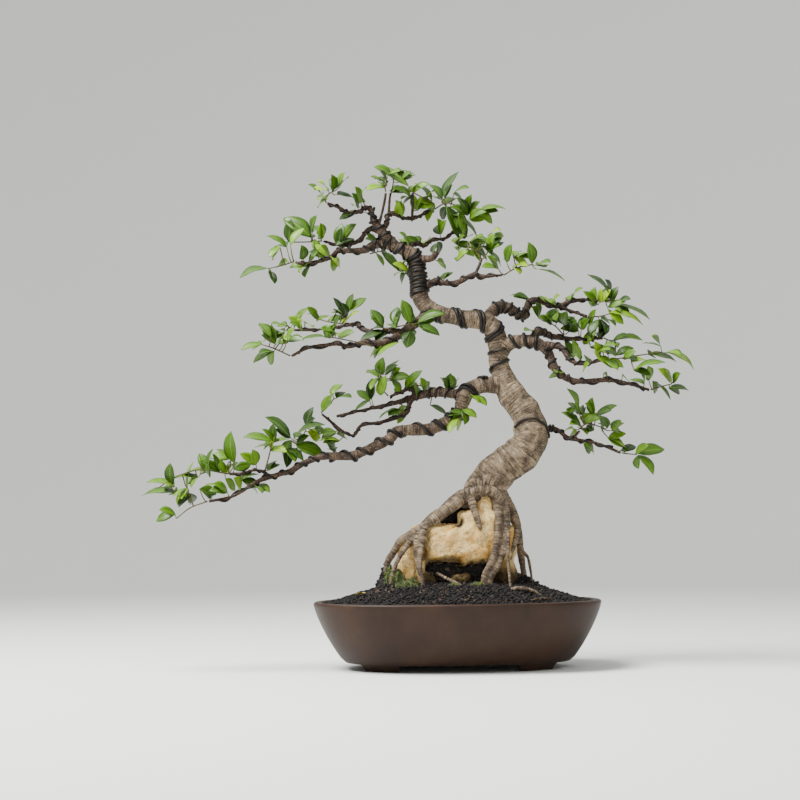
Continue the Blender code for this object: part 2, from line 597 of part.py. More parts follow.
def screen_mesh(name, x):
    bm = bmesh.new()
    bmesh.ops.create_grid(bm, x_segments=SCREEN_CELLS, y_segments=SCREEN_CELLS, size=SCREEN_SIZE / 2)
    bmesh.ops.translate(bm, verts=bm.verts, vec=(x, 0, floor_top + CLEARANCE + SCREEN_THICKNESS / 2))
    return mesh_from(bm, name, smooth=False)


screen_plastic = material("screen_plastic", SCREEN_BLACK, 0.6)
room_for_fittings = group_of("room_for_fittings")
for side, name in ((-1, "left"), (1, "right")):
    x = side * DRAIN_SPACING / 2
    screen = add_object("drainage_screen_" + name, screen_mesh("screen", x), parts, screen_plastic)
    lattice = screen.modifiers.new("lattice", "WIREFRAME")
    lattice.thickness = SCREEN_THICKNESS
    lattice.use_boundary = True
    lattice.use_even_offset = False
    room_size = SCREEN_SIZE + SCREEN_THICKNESS + 2 * CLEARANCE
    room_height = SCREEN_THICKNESS + 3 * CLEARANCE
    room = box_mesh("screen_room", (room_size, room_size, 2 * room_height), (x, 0, floor_top))
    as_cutter("screen_room_" + name, room, room_for_fittings)

anchor_top = POT_HEIGHT - ANCHOR_DEPTH
anchor_low = FOOT_HEIGHT - ANCHOR_DIAMETER / 2 - CLEARANCE
half_span = TIE_HOLE_SPACING / 2
bend = ANCHOR_BEND
cut_in = bend * (1 - math.sin(math.pi / 4))
anchor_half = [
    (half_span - bend, anchor_low), (half_span - cut_in, anchor_low + cut_in), (half_span, anchor_low + bend),
    (half_span, anchor_top - bend), (half_span + cut_in, anchor_top - cut_in),
    (half_span + bend, anchor_top), (half_span + ANCHOR_HOOK, anchor_top)]
anchor_route = [(-x, z) for x, z in reversed(anchor_half)] + anchor_half
anchor_points = [(Vector((x, TIE_HOLE_Y, z)), ANCHOR_DIAMETER / 2) for x, z in anchor_route]
black_wire = material("anodised_aluminium_wire", WIRE_BLACK, 0.45, 0.6)
anchor = add_object("anchor_wire", tube_mesh("anchor_wire", anchor_points, 1), parts, black_wire)
as_cutter("anchor_room", tube_mesh("anchor_room", anchor_points, 1, CLEARANCE), room_for_fittings)


# Soil and moss ---------------------------------------------------------------------------------------

soil_edge = POT_HEIGHT - SOIL_DROP


def soil_height(x, y):
    """The soil's surface: a mound that is highest against the stone and falls to the wall."""
    reach = inner_half_length(soil_edge)
    angle = math.atan2(y * reach, x * (reach - (POT_LENGTH - POT_DEPTH) / 2))
    edge_x, edge_y = plan_point(reach, angle)
    share = math.hypot(x, y) / max(math.hypot(edge_x, edge_y), 0.001)
    rise = SOIL_MOUND * max(1 - share, 0) ** SOIL_MOUND_POWER
    return soil_edge + SOIL_MOUND_CAP * math.tanh(rise / SOIL_MOUND_CAP)


def soil_mesh():
    rings = []
    for height in [floor_top + CLEARANCE] + inner_heights[1:-1]:
        rings.append(plan_ring(inner_half_length(height) - 2 * CLEARANCE, height))
    reach = inner_half_length(soil_edge) - 2 * CLEARANCE
    for share in SOIL_RINGS:
        ring = plan_ring(reach, 0)
        for place in ring:
            place.x *= share
            place.y *= share
            grain = noise.noise(place * SOIL_UNEVENNESS) * SOIL_GRAIN * (share < 1)
            place.z = soil_height(place.x, place.y) + grain
        rings.append(ring)
    return mesh_from(loft(rings), "soil")


def cushion_mesh(name, x, y, half, extra=0.0):
    bm = bmesh.new()
    bmesh.ops.create_uvsphere(bm, u_segments=12, v_segments=7, radius=1.0)
    for vert in bm.verts:
        vert.co = Vector(value * (size + extra) for value, size in zip(vert.co, half))
    bmesh.ops.translate(bm, verts=bm.verts, vec=(x, y, soil_height(x, y) - half[2] * MOSS_SINK))
    return mesh_from(bm, name)


soil = add_object("soil", soil_mesh(), parts, material("dark_granular_soil", SOIL_BLACK, 0.9))
moss = material("moss", MOSS_GREEN, 0.9)
for name, (x, y, *half) in MOSS.items():
    sizes = [value * MM for value in half]
    add_object(name, cushion_mesh(name, x * MM, y * MM, sizes), parts, moss)
    as_cutter("room_" + name, cushion_mesh("room_" + name, x * MM, y * MM, sizes, CLEARANCE), room_for_fittings)
stone_room = as_cutter("stone_room", stone_mesh("stone_room", 3 * CLEARANCE))
cut(soil, stone_room)
cut(soil, root_cutters)
cut(soil, room_for_fittings)
settled(soil, "soil")


# Wire coils ------------------------------------------------------------------------------------------

def length_at(lengths, index):
    whole = int(index)
    return lengths[whole] + (lengths[whole + 1] - lengths[whole]) * (index - whole)


def coil_points(route, samples, first, last, turns, diameter, start_angle, hand):
    """A helix round a limb, as far off its bark as the chords between its points need."""
    places = [Vector(point[:3]) * MM + Vector((0, 0, POT_HEIGHT)) for point in route]
    radii = [point[3] * MM for point in route]
    lengths = [0.0]
    for a, b in zip(places, places[1:]):
        lengths.append(lengths[-1] + (b - a).length)
    starts_at = length_at(lengths, first * samples)
    ends_at = length_at(lengths, last * samples)
    count = round(turns * WIRE_STEPS)
    normal = None
    points = []
    for step in range(count + 1):
        want = starts_at + (ends_at - starts_at) * step / count
        i = max(k for k in range(len(lengths) - 1) if lengths[k] <= want)
        share = (want - lengths[i]) / (lengths[i + 1] - lengths[i])
        place = places[i].lerp(places[i + 1], share)
        radius = radii[i] + (radii[i + 1] - radii[i]) * share
        before = places[max(i - 1, 0)] if share < 0.5 else places[i]
        after = places[i + 1] if share < 0.5 else places[min(i + 2, len(places) - 1)]
        tangent = (after - before).normalized()
        if normal is None:
            normal = tangent.orthogonal()
        normal = (normal - tangent * normal.dot(tangent)).normalized()
        side = tangent.cross(normal)
        angle = start_angle + hand * math.tau * step / WIRE_STEPS
        reach = (radius + diameter / 2 + WIRE_GAP) / math.cos(math.pi / WIRE_STEPS)
        points.append((place + (normal * math.cos(angle) + side * math.sin(angle)) * reach, diameter / 2))
    return points


for name, (limb, first, last, turns, diameter, start_angle, hand) in WIRES.items():
    points = coil_points(limbs[limb], limb_samples(limb), first, last, turns, diameter, start_angle, hand)
    mesh = tube_mesh(name, points, 0)
    obstacles.append(tree_of(mesh))
    add_object(name, mesh, parts, black_wire)


# Leafy shoots ----------------------------------------------------------------------------------------

def leaf_bmesh(length, place, way, roll, extra=0.0):
    """A pointed oval blade from its foot at place, its length along way, its back turned by roll."""
    bm = bmesh.new()
    bmesh.ops.create_uvsphere(bm, u_segments=3, v_segments=3, radius=0.5)
    half_width = length * LEAF_WIDTH / 2 + extra
    for vert in bm.verts:
        along = vert.co.z + 0.5
        spread = 1.0 if 0.01 < along < 0.99 else 0.0
        keel = -(LEAF_THICKNESS + extra) if abs(vert.co.x) < 0.1 else extra
        droop = -LEAF_DROOP * length * along ** 2
        side = math.copysign(half_width, vert.co.x) if abs(vert.co.x) > 0.1 else 0.0
        vert.co = (side * spread, keel * spread + droop, along * (length + extra))
    turn = way.to_track_quat("Z", "Y").to_matrix().to_4x4()
    bmesh.ops.transform(bm, matrix=Matrix.Translation(place) @ turn @ Matrix.Rotation(roll, 4, "Z"), verts=bm.verts)
    return bm


def is_free(bm, taken):
    tree = BVHTree.FromBMesh(bm)
    return not any(tree.overlap(other) for other in taken)


def leaf_way(tangent, turn, lean, rise):
    side = tangent.cross(Vector((0, 0, 1)))
    side = side.normalized() if side.length > 0.1 else Vector((1, 0, 0))
    across = side * math.cos(turn) + tangent.cross(side) * math.sin(turn)
    return (tangent * math.cos(lean) + across * math.sin(lean) + Vector((0, 0, rise))).normalized()


def grow_shoot(name, stem_points, leaf_count, leaf_length):
    rim = Vector((0, 0, POT_HEIGHT))
    route = [Vector(point) * MM + rim for point in stem_points]
    stem_mesh = tube_mesh(name, [(place, STEM_RADIUS) for place in route], 0)
    stem = add_object(name, stem_mesh, parts, leaf_green)
    blades = group_of("blades_" + name)
    stem_tree = tree_of(stem_mesh)
    own = []
    for number in range(leaf_count):
        share = (number + 1) / leaf_count
        spot = share * (len(route) - 1.15)
        index = min(int(spot), len(route) - 2)
        place = route[index].lerp(route[index + 1], spot - index)
        tangent = (route[index + 1] - route[index]).normalized()
        for attempt in range(LEAF_TRIES):
            loose = attempt / LEAF_TRIES
            last = number == leaf_count - 1
            lean = (0.1 if last else 1.0) + loose * random_source.uniform(-0.5, 0.9)
            turn = number * 2.4 + random_source.uniform(-0.5, 0.5) * (1 + 6 * loose)
            way = leaf_way(tangent, turn, lean, 0.0 if last else 0.25)
            length = leaf_length * MM * random_source.uniform(0.85, 1.1) * (1 - 0.35 * loose)
            foot = place - way * STEM_RADIUS * 0.4
            roll = random_source.uniform(-0.5, 0.5)
            blade = leaf_bmesh(length, foot, way, roll, CLEARANCE)
            clear = is_free(blade, obstacles)
            blade.free()
            if clear:
                break
        else:
            continue
        blade = mesh_from(leaf_bmesh(length, foot, way, roll), "blade", smooth=False)
        own.append(tree_of(blade))
        as_cutter(f"{name}_blade_{number}", blade, blades)
    obstacles.extend(own + [stem_tree])
    boolean(stem, "UNION", blades)


leaf_green = material("ficus_leaf", TWIG_GREEN, 0.4)
for name, (stem_points, leaf_count, leaf_length) in SHOOTS.items():
    grow_shoot(name, stem_points, leaf_count, leaf_length)


# Things lying on the soil ----------------------------------------------------------------------------

def lying(x, y, lift):
    return Vector((x, y, soil_height(x, y) + SOIL_GRAIN + lift))


twig_points = [(lying(*place), radius) for place, radius in FALLEN_TWIG]
add_object("fallen_twig", tube_mesh("fallen_twig", twig_points, 1), parts, wood.data.materials[0])
fallen_way = Vector(FALLEN_LEAF_WAY).normalized()
fallen = leaf_bmesh(FALLEN_LEAF_LENGTH, lying(*FALLEN_LEAF_PLACE), fallen_way, FALLEN_LEAF_ROLL)
add_object("fallen_leaf", mesh_from(fallen, "fallen_leaf"), parts, material("yellow_leaf", LEAF_YELLOW, 0.5))
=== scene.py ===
import math
import random
import time

import bmesh
import bpy
from mathutils import Matrix, Vector, noise
from mathutils.bvhtree import BVHTree
from mathutils.kdtree import KDTree


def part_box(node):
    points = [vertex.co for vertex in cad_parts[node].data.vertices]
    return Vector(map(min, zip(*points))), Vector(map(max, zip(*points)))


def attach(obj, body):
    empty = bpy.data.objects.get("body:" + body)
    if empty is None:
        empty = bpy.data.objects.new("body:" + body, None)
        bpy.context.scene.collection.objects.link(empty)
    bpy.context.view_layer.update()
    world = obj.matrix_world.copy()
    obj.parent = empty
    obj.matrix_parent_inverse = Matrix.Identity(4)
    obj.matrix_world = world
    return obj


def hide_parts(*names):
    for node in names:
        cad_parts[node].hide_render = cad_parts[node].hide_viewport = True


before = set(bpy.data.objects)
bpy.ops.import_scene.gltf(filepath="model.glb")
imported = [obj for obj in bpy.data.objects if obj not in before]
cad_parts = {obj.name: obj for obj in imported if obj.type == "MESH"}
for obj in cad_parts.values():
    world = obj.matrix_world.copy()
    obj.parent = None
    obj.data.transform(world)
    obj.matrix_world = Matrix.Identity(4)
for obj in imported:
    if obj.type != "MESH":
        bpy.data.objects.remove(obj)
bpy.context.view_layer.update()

# A wired ficus bonsai on a rock, in an oval stoneware pot: the fine surfaces over the CAD frame.
mm = 0.001
potLow, potHigh = (Vector(corner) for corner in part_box("pot"))
rimCentre = Vector(((potLow.x + potHigh.x) / 2, (potLow.y + potHigh.y) / 2, potHigh.z))
up = Vector((0, 0, 1))


# small helpers, used by every piece

def fromRim(x, y, z):  # millimetres from the middle of the rim plane
    return rimCentre + Vector((x, y, z)) * mm


def addNode(tree, kind, settings=None, links=None):  # by input name or number, or the node's own setting
    node = tree.nodes.new(kind)
    for name, value in (settings or {}).items():
        if isinstance(name, int) or name in node.inputs:
            node.inputs[name].default_value = value
        else:
            setattr(node, name, value)
    for name, socket in (links or {}).items():
        tree.links.new(socket, node.inputs[name])
    return node


def linearColour(hexText):  # sRGB hex to linear, with alpha
    parts = [int(hexText[i:i + 2], 16) / 255 for i in (0, 2, 4)]
    return tuple(p / 12.92 if p <= 0.04045 else ((p + 0.055) / 1.055) ** 2.4 for p in parts) + (1.0,)


def addRamp(tree, factor, stops):  # a colour ramp from (place, hex) stops
    ramp = addNode(tree, "ShaderNodeValToRGB", links={"Fac": factor})
    elements = ramp.color_ramp.elements
    while len(elements) < len(stops):
        elements.new(0.5)
    for element, (place, hexText) in zip(elements, stops):
        element.position = place
        element.color = linearColour(hexText)
    return ramp.outputs["Color"]


def mixColours(tree, factor, first, second, blend="MIX"):
    mix = addNode(tree, "ShaderNodeMix", {"data_type": "RGBA", "blend_type": blend})
    for socket, value in ((mix.inputs[0], factor), (mix.inputs[6], first), (mix.inputs[7], second)):
        if isinstance(value, bpy.types.NodeSocket):
            tree.links.new(value, socket)
        else:
            socket.default_value = value
    return mix.outputs[2]


def newMaterial(name, settings):
    made = bpy.data.materials.new(name)
    made.use_nodes = True
    shader = made.node_tree.nodes["Principled BSDF"]
    for socket, value in settings.items():
        shader.inputs[socket].default_value = value
    return made, made.node_tree, shader


def addBump(tree, shader, layers):  # layers are (height socket, depth in metres, strength)
    normal = None
    for height, depth, strength in layers:
        links = {"Height": height}
        if normal:
            links["Normal"] = normal
        bump = addNode(tree, "ShaderNodeBump", {"Distance": depth, "Strength": strength}, links)
        normal = bump.outputs["Normal"]
    tree.links.new(normal, shader.inputs["Normal"])


def meshFromBm(bm, name, smooth=True):
    mesh = bpy.data.meshes.new(name)
    bm.to_mesh(mesh)
    bm.free()
    if smooth:
        mesh.shade_smooth()
    return mesh


def placePiece(name, mesh, material, replaced=()):
    piece = bpy.data.objects.new(name, mesh)
    bpy.context.scene.collection.objects.link(piece)
    mesh.materials.clear()
    mesh.materials.append(material)
    if replaced:
        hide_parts(*replaced)
    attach(piece, "root")
    return piece


def evaluatedMesh(mesh, setUp):  # puts the mesh through modifiers and gives the result
    holder = bpy.data.objects.new("holder", mesh)
    bpy.context.scene.collection.objects.link(holder)
    setUp(holder.modifiers)
    graph = bpy.context.evaluated_depsgraph_get()
    result = bpy.data.meshes.new_from_object(holder.evaluated_get(graph))
    bpy.data.objects.remove(holder)
    return result


def voxelRemesh(mesh, size):
    def setUp(modifiers):
        remesh = modifiers.new("remesh", "REMESH")
        remesh.mode = "VOXEL"
        remesh.voxel_size = size
    return evaluatedMesh(mesh, setUp)


def fusedBm(rough, name, size):  # fuses a rough bmesh by remeshing, smoothed twice
    bm = bmesh.new()
    bm.from_mesh(voxelRemesh(meshFromBm(rough, name), size))
    for _ in range(2):
        bmesh.ops.smooth_vert(bm, verts=bm.verts, factor=0.5, use_axis_x=True, use_axis_y=True,
                              use_axis_z=True)
    return bm


def denseRoute(points, spacing):  # an even Catmull-Rom route through (x, y, z, radius) points in millimetres
    values = [list(point) for point in points]
    first = [2 * a - b for a, b in zip(values[0], values[1])]
    last = [2 * a - b for a, b in zip(values[-1], values[-2])]
    ends = [first] + values + [last]
    route = []
    for index, (p0, p1, p2, p3) in enumerate(zip(ends, ends[1:], ends[2:], ends[3:])):
        run = math.dist(p1[:3], p2[:3])
        steps = max(2, round(run / spacing))
        for step in range(steps):
            t = step / steps
            value = [0.5 * (2 * b + (c - a) * t + (2 * a - 5 * b + 4 * c - d) * t ** 2
                            + (3 * b - 3 * c + d - a) * t ** 3) for a, b, c, d in zip(p0, p1, p2, p3)]
            route.append((fromRim(*value[:3]), max(value[3], 0.6) * mm, index + t))
    route.append((fromRim(*values[-1][:3]), values[-1][3] * mm, len(values) - 1))
    return route


def tubeMesh(name, samples, resolution):  # samples are (place, radius) pairs
    curve = bpy.data.curves.new(name, "CURVE")
    curve.dimensions = "3D"
    curve.bevel_depth = 1.0
    curve.bevel_resolution = resolution
    curve.use_fill_caps = True
    spline = curve.splines.new("POLY")
    spline.points.add(len(samples) - 1)
    for point, sample in zip(spline.points, samples):
        point.co = (*sample[0], 1)
        point.radius = sample[1]
    holder = bpy.data.objects.new(name, curve)
    bpy.context.scene.collection.objects.link(holder)
    graph = bpy.context.evaluated_depsgraph_get()
    mesh = bpy.data.meshes.new_from_object(holder.evaluated_get(graph))
    bpy.data.objects.remove(holder)
    bm = bmesh.new()
    bm.from_mesh(mesh)
    bmesh.ops.remove_doubles(bm, verts=bm.verts, dist=0.00001)
    bmesh.ops.recalc_face_normals(bm, faces=bm.faces)
    bpy.data.meshes.remove(mesh)
    return meshFromBm(bm, name)


def addMesh(bm, mesh):  # adds a mesh to a bmesh and gives its new vertices
    before = len(bm.verts)
    bm.from_mesh(mesh)
    bm.verts.ensure_lookup_table()
    return bm.verts[before:]


# camera and light

camera = {"place": (-0.0182, -2.86, 0.2153), "pitch": 4.16, "roll": -0.7, "lens": 81.0}
cameraData = bpy.data.cameras.new("camera")
cameraData.lens = camera["lens"]
cameraData.sensor_width = 36
cameraObject = bpy.data.objects.new("camera", cameraData)
tilt = Matrix.Rotation(math.radians(90 + camera["pitch"]), 4, "X")
cameraObject.matrix_world = (Matrix.Translation(camera["place"]) @ tilt
                             @ Matrix.Rotation(math.radians(camera["roll"]), 4, "Z"))
bpy.context.scene.collection.objects.link(cameraObject)
bpy.context.scene.camera = cameraObject

studio = {
    "floorHex": "e6e6e2",
    "floorRadius": 6.5,
    "coveRadius": 2.5,
    "wallHeight": 6.0,
    "worldHex": "e9ecef",
    "worldStrength": 1.04,
    # place, size, watts, aim
    "lamps": {
        "overcastTop": ((-1.2, -0.6, 2.5), 1.6, 240, (0, 0, 0.4)),
        "frontFill": ((0.5, -3.0, 1.4), 2.0, 22, (0, 0, 0.4)),
    },
}
world = bpy.data.worlds.new("studioWorld")
bpy.context.scene.world = world
world.use_nodes = True
world.node_tree.nodes["Background"].inputs["Color"].default_value = linearColour(studio["worldHex"])
world.node_tree.nodes["Background"].inputs["Strength"].default_value = studio["worldStrength"]
for name, (place, size, watts, aim) in studio["lamps"].items():
    lamp = bpy.data.lights.new(name, "AREA")
    lamp.shape = "DISK"
    lamp.size = size
    lamp.energy = watts
    lampObject = bpy.data.objects.new(name, lamp)
    lampObject.location = place
    lampObject.rotation_euler = (Vector(aim) - Vector(place)).to_track_quat("-Z", "Y").to_euler()
    bpy.context.scene.collection.objects.link(lampObject)

plaster, tree, shader = newMaterial("paintedStudioFloor", {"Roughness": 0.9})
shader.inputs["Base Color"].default_value = linearColour(studio["floorHex"])
floorBm = bmesh.new()  # a flat floor that curves up into a wall all round
profile = [(0.0, 0.0), (studio["floorRadius"] - studio["coveRadius"], 0.0)]
for step in range(1, 13):
    angle = math.pi / 2 * step / 12
    profile.append((studio["floorRadius"] - studio["coveRadius"] * (1 - math.sin(angle)),
                    studio["coveRadius"] * (1 - math.cos(angle))))
profile.append((studio["floorRadius"], studio["wallHeight"]))
line = [floorBm.verts.new((x, 0, z - 0.0005)) for x, z in profile]
edges = [floorBm.edges.new(pair) for pair in zip(line, line[1:])]
bmesh.ops.spin(floorBm, geom=line + edges, axis=(0, 0, 1), cent=(0, 0, 0), angle=math.tau, steps=72,
               use_merge=True)
bmesh.ops.remove_doubles(floorBm, verts=floorBm.verts, dist=0.0001)
bmesh.ops.recalc_face_normals(floorBm, faces=floorBm.faces)
bmesh.ops.reverse_faces(floorBm, faces=floorBm.faces)
floor = bpy.data.objects.new("studioFloor", meshFromBm(floorBm, "studioFloor"))
floor.data.materials.append(plaster)
bpy.context.scene.collection.objects.link(floor)
startTime = time.time()


def report(text):
    print("stage:", text, "at", round(time.time() - startTime), "s")


report("camera and studio")


# bark

def makeBark():
    # ficus bark: thin, smooth and grey, with fine rings across the limb and pale lenticels; young wood is
    # redder
    made, tree, shader = newMaterial("ficusBark", {"Roughness": 0.78, "Specular IOR Level": 0.3})
    frameInput = addNode(tree, "ShaderNodeAttribute", {"attribute_name": "barkFrame"})
    size = addNode(tree, "ShaderNodeAttribute", {"attribute_name": "limbSize"})
    onObject = {"Vector": addNode(tree, "ShaderNodeTexCoord").outputs["Object"]}
    sway = addNode(tree, "ShaderNodeTexNoise", {"Scale": 40.0, "Detail": 2.0}, onObject)
    swayed = addNode(tree, "ShaderNodeVectorMath", {"operation": "MULTIPLY_ADD", 1: (5 * mm,) * 3},
                     {0: sway.outputs["Color"], 2: frameInput.outputs["Vector"]})
    foldMap = addNode(tree, "ShaderNodeMapping", {"Scale": (190, 12, 12)},
                      {"Vector": swayed.outputs["Vector"]})
    folds = addNode(tree, "ShaderNodeTexNoise", {"Scale": 1.0, "Detail": 1.0},
                    {"Vector": foldMap.outputs["Vector"]})
    ringMap = addNode(tree, "ShaderNodeMapping", {"Scale": (480, 34, 34)},
                      {"Vector": swayed.outputs["Vector"]})
    rings = addNode(tree, "ShaderNodeTexNoise", {"Scale": 1.0, "Detail": 3.0, "Roughness": 0.6},
                    {"Vector": ringMap.outputs["Vector"]})  # rings about 2 mm apart
    middle = addNode(tree, "ShaderNodeMath", {"operation": "SUBTRACT", 1: 0.5}, {0: folds.outputs["Fac"]})
    away = addNode(tree, "ShaderNodeMath", {"operation": "ABSOLUTE"}, {0: middle.outputs["Value"]})
    crease = addNode(tree, "ShaderNodeMapRange", {"From Min": 0.045, "From Max": 0.0},
                     {"Value": away.outputs["Value"]})
    # 17 mm patches of grey and tan
    blotches = addNode(tree, "ShaderNodeTexNoise", {"Scale": 60.0, "Detail": 5.0, "Roughness": 0.65},
                       onObject)
    # lenticels 3 mm apart
    specks = addNode(tree, "ShaderNodeTexVoronoi", {"Scale": 330.0, "Randomness": 1.0}, onObject)
    grit = addNode(tree, "ShaderNodeTexNoise", {"Scale": 800.0, "Detail": 3.0, "Roughness": 0.7}, onObject)
    oldWood = addRamp(tree, blotches.outputs["Fac"], [
        (0.3, "51453a"), (0.43, "70614f"), (0.53, "8f7e68"), (0.66, "b09d81"), (0.8, "cfbea0")])
    youngWood = addRamp(tree, blotches.outputs["Fac"], [(0.3, "2e2019"), (0.55, "4a362b"), (0.75, "6a5040")])
    age = addNode(tree, "ShaderNodeMapRange", {"From Min": 0.005, "From Max": 0.016},
                  {"Value": size.outputs["Fac"]})
    colour = mixColours(tree, age.outputs["Result"], youngWood, oldWood)
    ringShade = addRamp(tree, rings.outputs["Fac"], [(0.36, "564c42"), (0.47, "cfc8be"), (0.58, "ffffff")])
    colour = mixColours(tree, 0.8, colour, ringShade, "MULTIPLY")
    # painted shade: the valleys of the folds across the bark are darkened toward deep brown
    creaseShadeShare = addNode(tree, "ShaderNodeMath", {"operation": "MULTIPLY", 1: 0.62},
                          {0: crease.outputs["Result"]})
    colour = mixColours(tree, creaseShadeShare.outputs["Value"], colour, linearColour("33281f"))
    gritShade = addRamp(tree, grit.outputs["Fac"], [(0.36, "8a8078"), (0.52, "f4f1ec"), (0.7, "ffffff")])
    colour = mixColours(tree, 0.55, colour, gritShade, "MULTIPLY")
    speckMask = addNode(tree, "ShaderNodeMapRange", {"From Min": 0.24, "From Max": 0.12, "To Max": 0.4},
                        {"Value": specks.outputs["Distance"]})
    colour = mixColours(tree, speckMask.outputs["Result"], colour, linearColour("c6b398"))
    tree.links.new(colour, shader.inputs["Base Color"])
    foldHeight = addNode(tree, "ShaderNodeMath", {"operation": "SUBTRACT", 0: 1.0},
                         {1: crease.outputs["Result"]})
    addBump(tree, shader, [(foldHeight.outputs["Value"], 0.0016, 0.8), (rings.outputs["Fac"], 0.0014, 0.7),
                           (grit.outputs["Fac"], 0.0006, 0.5)])
    return made


barkMaterial = makeBark()

